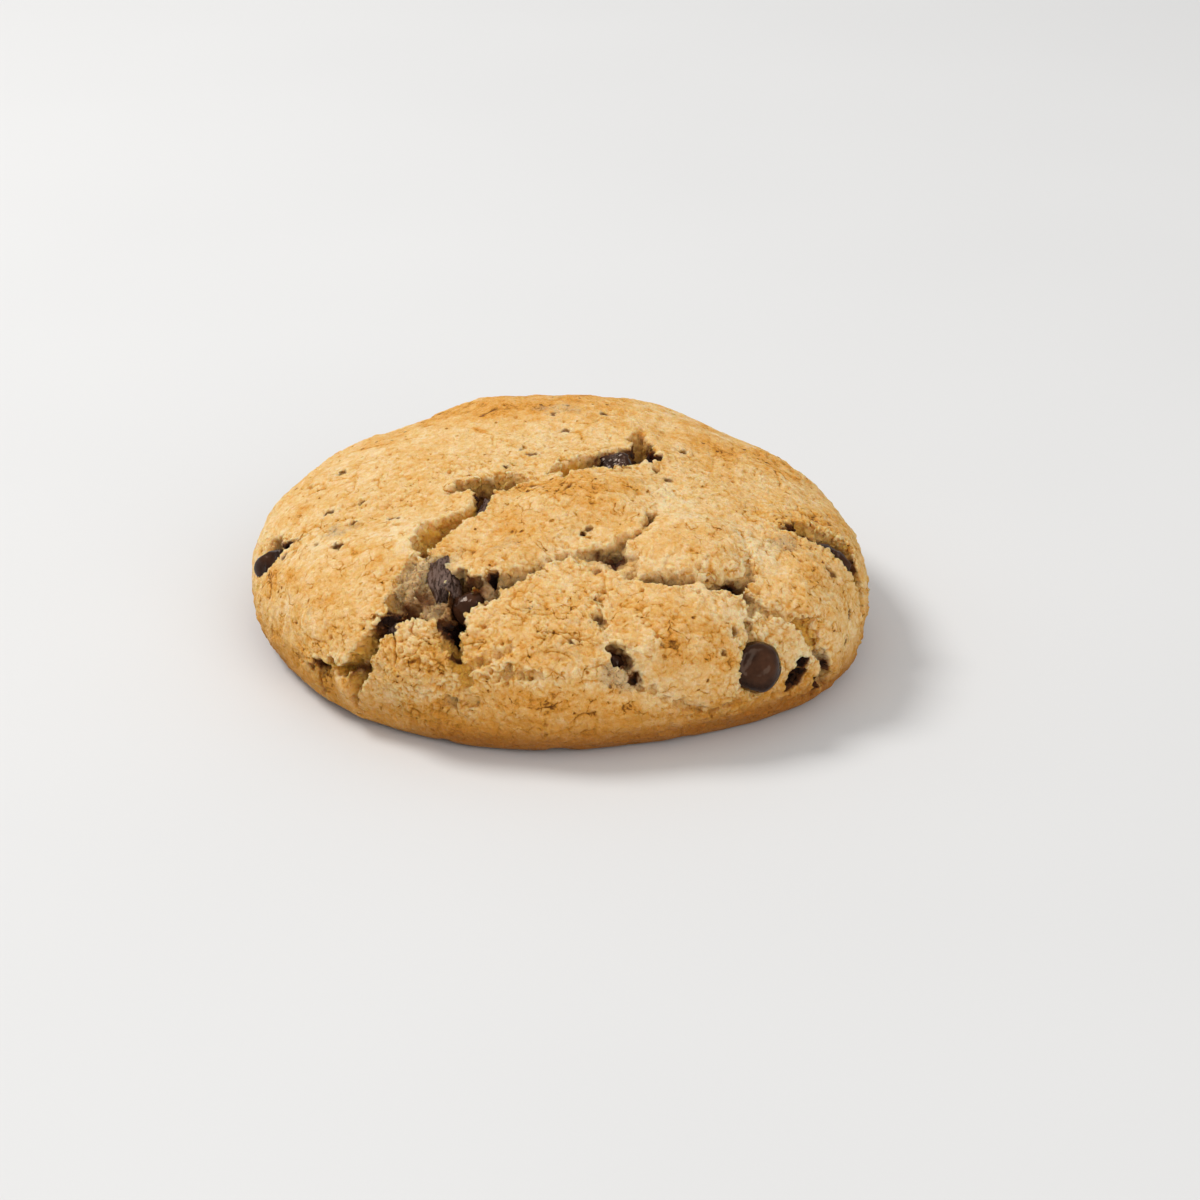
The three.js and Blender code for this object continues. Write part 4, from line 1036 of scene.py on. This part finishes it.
def dough_material(settings):
    """Baked dough: pale to browned crust, amber splits, melted chocolate and painted shade in the pits,
    painted shade in the crevices and deep splits, painted light on the split lips, and a brown base.
    """
    n = Nodes("baked_dough")
    place = n.add("ShaderNodeTexCoord").outputs["Object"]
    broad = n.noise(place, 110, 3)
    middling = n.noise(place, 480, 3, 0.6)
    fine = n.noise(place, 1900, 4, 0.7)
    stirred = n.add("ShaderNodeTexNoise", {"Vector": place, "Scale": 700.0, "Detail": 2.0}).outputs["Color"]
    stirred = n.vectors("MULTIPLY_ADD", stirred, (0.0013, 0.0013, 0.0013), place)
    # Pinholes, hairline cracks and small flakes; the pinholes and hairline cracks are painted dark as shade.
    holes = n.cells(stirred, 430.0)
    chosen = n.channel(holes.outputs["Color"], 0)
    pinhole = n.maths("MULTIPLY", n.ramp(holes.outputs["Distance"], 0.17, 0.09), n.ramp(chosen, 0.45, 0.5))
    edges = n.cells(stirred, 360.0, feature="DISTANCE_TO_EDGE").outputs["Distance"]
    hairline = n.maths("MULTIPLY", n.ramp(edges, 0.05, 0.012), n.ramp(n.noise(place, 420, 2), 0.53, 0.62))
    hairline = n.maths("MULTIPLY", hairline, n.ramp(n.attribute("sleek"), 0.0, 0.8, 1.0, 0.15))
    flake = n.cells(stirred, 1150.0)
    flake_level = n.channel(flake.outputs["Color"], 1)
    # How pale or browned the crust is: 0 is the darkest crevice, 1 the palest crumb. Each row shifts it, and
    # holds a value, the value's range, and the shift at each end of that range.
    level = n.ramp(broad, 0.3, 0.7, 0.51, 0.69)
    shifts = (
        (middling, 0.3, 0.7, -0.12, 0.12),
        (fine, 0.3, 0.7, -0.12, 0.12),
        (flake_level, 0, 1, -0.07, 0.08),
        (n.attribute("pale"), 0, 1, 0, 0.16),
        (n.attribute("browned"), 0, 1, 0, -0.26),
        # painted shade in the crevices
        (n.attribute("crevice_shade"), 0, 1, 0, -0.35),
        (n.attribute("inside"), 0, 1, 0, -0.14),
        # painted light along the lips of the splits
        (n.attribute("lip"), 0, 1, 0, 0.12),
        # painted shade in the pinholes and hairline cracks
        (pinhole, 0, 1, 0, -0.45),
        (hairline, 0, 1, 0, -0.30),
    )
    for value, low, high, to_low, to_high in shifts:
        level = n.maths("ADD", level, n.ramp(value, low, high, to_low, to_high))
    ramp = n.add("ShaderNodeValToRGB", {"Fac": level})
    stops = (
        (0.0, settings.crevice_shade),
        (0.26, settings.browned),
        (0.52, settings.golden),
        (0.78, settings.pale),
        (1.0, settings.floury),
    )
    while len(ramp.color_ramp.elements) < len(stops):
        ramp.color_ramp.elements.new(0.5)
    for element, (position, colour) in zip(ramp.color_ramp.elements, stops):
        element.position = position
        element.color = opaque(colour)
    colour = ramp.outputs["Color"]
    # The sides darken towards the base: browning, and partly painted shade.
    low = n.attribute("low")
    share = n.maths("MULTIPLY", n.ramp(low, 0.0, 0.45), n.ramp(middling, 0.3, 0.7, 0.85, 0.5))
    colour = n.mix(share, colour, opaque(settings.low))
    colour = n.mix(n.ramp(low, 0.6, 1.0, 0.0, 0.85), colour, opaque(settings.rim))
    # Inside the splits the dough is beige or amber.
    inside = n.mix(n.attribute("amber"), opaque(settings.beige), opaque(settings.inside))
    share = n.maths("MULTIPLY", n.attribute("inside"), n.ramp(middling, 0.3, 0.7, 0.85, 0.4))
    colour = n.mix(share, colour, inside)
    # Chocolate is smeared in streaks over some of the crumb.
    smear = n.maths("MULTIPLY", n.attribute("smear"), n.ramp(fine, 0.3, 0.6, 0.4, 1.0))
    streak = n.mix(n.ramp(n.noise(stirred, 1400, 3, 0.65), 0.36, 0.48), SMEAR_DARK, SMEAR_PALE)
    colour = n.mix(n.maths("MULTIPLY", smear, 0.85), colour, streak)
    # Painted shade darkens the deep places, and melted chocolate with painted shade makes the pits brown to
    # nearly black.
    deep = n.maths("MULTIPLY", n.attribute("deep"), n.ramp(n.attribute("amber"), 0.0, 1.0, 0.85, 0.35))
    colour = n.mix(deep, colour, DEEP_SPLIT_SHADE)
    chocolate_and_shade = n.maths("MULTIPLY", n.attribute("chocolate_and_shade"), n.ramp(middling, 0.25, 0.5, 0.75, 1.0))
    colour = n.mix(n.ramp(chocolate_and_shade, 0.0, 0.5), colour, BROWN_CHOCOLATE_AND_SHADE)
    colour = n.mix(n.ramp(chocolate_and_shade, 0.35, 0.9), colour, BLACK_CHOCOLATE_AND_SHADE)
    colour = n.mix(n.maths("MULTIPLY", n.attribute("underside"), 0.85), colour, UNDERSIDE)
    height = n.maths("MULTIPLY", fine, 0.9)
    grain = flake.outputs["Distance"]
    for value, weight in ((middling, 0.7), (grain, -0.5), (pinhole, -0.6), (hairline, -0.4)):
        height = n.maths("ADD", height, n.maths("MULTIPLY", value, weight))
    return n.finish({
        "Base Color": colour,
        "Roughness": n.ramp(fine, 0.35, 0.65, 0.85, 0.5),
        "Normal": n.bump(height, 1.0, 0.00065),
        "Specular IOR Level": 0.18,
        "Subsurface Weight": 0.35,
        "Subsurface Radius": (1.0, 0.45, 0.12),
        "Subsurface Scale": 0.0022,
    })


def chocolate_material(settings):
    """Dark chocolate: glossy where it is clean, dull and paler where crumb clings to it."""
    n = Nodes("dark_chocolate")
    place = n.add("ShaderNodeTexCoord").outputs["Object"]
    cloud = n.noise(place, 260, 3)
    drawn = n.vectors("MULTIPLY", place, (1.8, 0.5, 0.7))
    fine = n.noise(drawn, 1500, 4, 0.65)
    colour = n.mix(n.ramp(cloud, 0.36, 0.66), opaque(settings.dark), opaque(settings.bloom))
    dusted = n.maths("MULTIPLY", n.attribute("dusted"), n.ramp(fine, 0.44, 0.54, 0.1, 1.0))
    colour = n.mix(dusted, colour, opaque(settings.dust))
    grain = n.maths("MULTIPLY", fine, n.ramp(dusted, 0.0, 0.6, 0.10, 1.0))
    height = n.maths("ADD", grain, n.maths("MULTIPLY", cloud, 0.5))
    return n.finish({
        "Base Color": colour,
        "Roughness": n.ramp(dusted, 0.0, 0.5, 0.1, 0.8),
        "Normal": n.bump(height, 0.6, 0.0004),
        "Specular IOR Level": 0.2,
        "Specular Tint": (1.0, 0.76, 0.6, 1),
    })


def floor_material(colour):
    """A plain matt floor, very faintly mottled."""
    n = Nodes("plain_floor")
    place = n.add("ShaderNodeTexCoord").outputs["Object"]
    darker = tuple(FLOOR_MOTTLE * c for c in colour)
    shade = n.mix(n.ramp(n.noise(place, 6.0, 2), 0.3, 0.7), opaque(colour), opaque(darker))
    return n.finish({"Base Color": shade, "Roughness": 0.7, "Specular IOR Level": 0.2})


# === Settings ===

def colour_setting(name, description, default):
    """A colour that can be changed in the sidebar."""
    return FloatVectorProperty(name=name, description=description, default=default, subtype="COLOR")


class CookieDoughSettings(PropertyGroup):
    """How the dough is baked."""

    faces: IntProperty(
        name="Faces", description="Triangles in the finished dough", default=DOUGH_FACES, min=20000)
    crumb: FloatProperty(
        name="Crumb", description="How strongly the crumb stands out, 1 as baked", default=1.0, min=0, max=2,
        subtype="FACTOR")
    floury: colour_setting("Floury", "Colour of the palest crumbs", (0.95, 0.775, 0.47))
    pale: colour_setting("Pale", "Colour of the less baked crust", (0.92, 0.66, 0.34))
    golden: colour_setting("Golden", "Colour of the baked crust", (0.83, 0.475, 0.15))
    browned: colour_setting("Browned", "Colour of the most baked crust", (0.74, 0.315, 0.04))
    beige: colour_setting("Beige", "Colour of the dull dough in the shallow splits", (0.66, 0.455, 0.205))
    inside: colour_setting("Inside", "Colour of the amber dough in the deep splits", (0.86, 0.455, 0.055))
    low: colour_setting("Low rim", "Colour of the crust low on the sides", (0.60, 0.25, 0.028))
    rim: colour_setting("Base rim", "Colour of the crust where it meets the base", (0.36, 0.12, 0.012))
    # Painted shade in the cracks of the crust.
    crevice_shade: colour_setting("Crevice", "Colour in the cracks of the crust", (0.20, 0.066, 0.007))


class CookieChipSettings(PropertyGroup):
    """How the chips look."""

    dent: FloatProperty(
        name="Dents", description="How uneven the chips are, 1 as baked", default=1.0, min=0, max=2,
        subtype="FACTOR")
    breaks: IntProperty(
        name="Broken faces", description="Flat broken faces on each chip that crumb clings to", default=5,
        min=0)
    dark: colour_setting("Chocolate", "Colour of the dark chocolate", (0.012, 0.004, 0.002))
    bloom: colour_setting("Bloom", "Colour of its paler bloom", (0.060, 0.023, 0.011))
    dust: colour_setting("Crumb dust", "Colour of the crumb smeared on it", (0.155, 0.100, 0.080))


class CookieStageSettings(PropertyGroup):
    """The floor, the light and the camera."""

    floor: colour_setting("Floor", "Colour of the plain floor", (0.69, 0.69, 0.69))
    sky: FloatProperty(
        name="Sky", description="Strength of the even light from all sides", default=0.62, min=0)
    key: FloatProperty(
        name="Key light", description="Power of the large soft light at the left", default=8.6, min=0,
        unit="POWER")
    fill: FloatProperty(
        name="Front light", description="Power of the broad light at the front", default=6.0, min=0,
        unit="POWER")
    view_distance: FloatProperty(
        name="View distance", description="From the camera to the cookie", default=0.6, unit="LENGTH")
    view_height: FloatProperty(
        name="View height", description="The camera's angle above the floor", default=math.radians(25.5),
        subtype="ANGLE")
    lens: FloatProperty(
        name="Lens", description="Focal length in millimetres on a 36 mm sensor", default=104.88)


# === Operators ===

def link(obj):
    """Put an object in the scene."""
    bpy.context.scene.collection.objects.link(obj)
    return obj


class COOKIE_OT_dough(Operator):
    """Bake the dough: the split crust, its crumb and its browning"""

    bl_idname = "cookie.dough"
    bl_label = "Bake dough"

    def execute(self, context):
        settings = context.scene.cookie_dough
        mesh = dough_mesh(settings)
        if len(mesh.polygons) == 0:
            raise RuntimeError("the dough came out empty")
        mesh.materials.clear()
        mesh.materials.append(dough_material(settings))
        mesh.shade_smooth()
        dough = link(bpy.data.objects.new("baked_dough", mesh))
        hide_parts("dough")
        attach(dough, "root")
        return {"FINISHED"}


class COOKIE_OT_chips(Operator):
    """Set the chocolate chips in the dough"""

    bl_idname = "cookie.chips"
    bl_label = "Set chips"

    def execute(self, context):
        settings = context.scene.cookie_chips
        material = chocolate_material(settings)
        if not CHIP_NAMES:
            raise RuntimeError("the packed model has no chips")
        for name in CHIP_NAMES:
            mesh = chip_mesh(name, settings)
            mesh.materials.clear()
            mesh.materials.append(material)
            chip = link(bpy.data.objects.new("baked_" + name, mesh))
            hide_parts(name)
            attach(chip, "root")
        return {"FINISHED"}


def area_light(name, place, size, power, colour):
    """A round soft light that shines at the cookie."""
    light = bpy.data.lights.new(name, "AREA")
    light.shape = "DISK"
    light.size = size
    light.energy = power
    light.color = colour
    lamp = link(bpy.data.objects.new(name, light))
    lamp.location = place
    lamp.rotation_euler = (Vector(LIGHT_AIM) - Vector(place)).to_track_quat("-Z", "Y").to_euler()


def lay_floor(settings):
    """A wide square floor under the cookie."""
    corners = [(x * FLOOR_HALF, y * FLOOR_HALF, 0) for x, y in ((-1, -1), (1, -1), (1, 1), (-1, 1))]
    mesh = mesh_from("floor", corners, [(0, 1, 2, 3)])
    mesh.materials.append(floor_material(settings.floor))
    floor = link(bpy.data.objects.new("floor", mesh))
    floor.location.z = -FLOOR_DROP


def set_lights(scene, settings):
    """Even light from all sides, a soft key light at the left and a broad light at the front."""
    world = bpy.data.worlds.new("soft_sky")
    world.use_nodes = True
    background = world.node_tree.nodes["Background"]
    background.inputs["Color"].default_value = (1.0, 1.0, 1.0, 1)
    background.inputs["Strength"].default_value = settings.sky
    scene.world = world
    area_light("key_light", KEY_PLACE, KEY_SIZE, settings.key, KEY_COLOUR)
    area_light("front_light", FRONT_PLACE, FRONT_SIZE, settings.fill, FRONT_COLOUR)


def set_camera(scene, settings):
    """A camera that looks down on the cookie from the front."""
    data = bpy.data.cameras.new("camera")
    data.lens = settings.lens
    data.sensor_width = SENSOR_WIDTH
    data.clip_start = NEAR_CLIP
    camera = link(bpy.data.objects.new("camera", data))
    tilt = settings.view_height
    back = Vector((0, -math.cos(tilt), math.sin(tilt)))
    up = Vector((0, math.sin(tilt), math.cos(tilt)))
    # The cookie stands a little left of the middle of the view and a little below it.
    middle = Vector((CENTRE_SHIFT[0], CENTRE_SHIFT[1], 0)) * MM
    aim = middle + Vector((1, 0, 0)) * AIM_RIGHT + up * AIM_UP
    camera.location = aim + back * settings.view_distance
    camera.rotation_euler = Euler((math.pi / 2 - tilt, 0, 0))
    scene.camera = camera


class COOKIE_OT_stage(Operator):
    """Lay the floor and set the soft light and the camera"""

    bl_idname = "cookie.stage"
    bl_label = "Set stage"

    def execute(self, context):
        settings = context.scene.cookie_stage
        lay_floor(settings)
        set_lights(context.scene, settings)
        set_camera(context.scene, settings)
        context.scene.view_settings.view_transform = "Standard"
        return {"FINISHED"}


class COOKIE_PT_sidebar(Panel):
    """The cookie's settings and its steps in order"""

    bl_label = "Cookie"
    bl_idname = "COOKIE_PT_sidebar"
    bl_space_type = "VIEW_3D"
    bl_region_type = "UI"
    bl_category = "Cookie"

    def draw(self, context):
        for group, operator in STEPS:
            column = self.layout.column()
            settings = getattr(context.scene, group)
            for name in settings.__annotations__:
                column.prop(settings, name)
            column.operator(operator)


STEPS = (("cookie_dough", "cookie.dough"), ("cookie_chips", "cookie.chips"), ("cookie_stage", "cookie.stage"))
CLASSES = (CookieDoughSettings, CookieChipSettings, CookieStageSettings, COOKIE_OT_dough, COOKIE_OT_chips,
           COOKIE_OT_stage, COOKIE_PT_sidebar)


def register():
    for cls in CLASSES:
        bpy.utils.register_class(cls)
    bpy.types.Scene.cookie_dough = PointerProperty(type=CookieDoughSettings)
    bpy.types.Scene.cookie_chips = PointerProperty(type=CookieChipSettings)
    bpy.types.Scene.cookie_stage = PointerProperty(type=CookieStageSettings)


def unregister():
    del bpy.types.Scene.cookie_stage
    del bpy.types.Scene.cookie_chips
    del bpy.types.Scene.cookie_dough
    for cls in reversed(CLASSES):
        bpy.utils.unregister_class(cls)


def main():
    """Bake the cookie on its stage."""
    register()
    bpy.ops.cookie.dough()
    bpy.ops.cookie.chips()
    bpy.ops.cookie.stage()


if __name__ == "__main__":
    main()
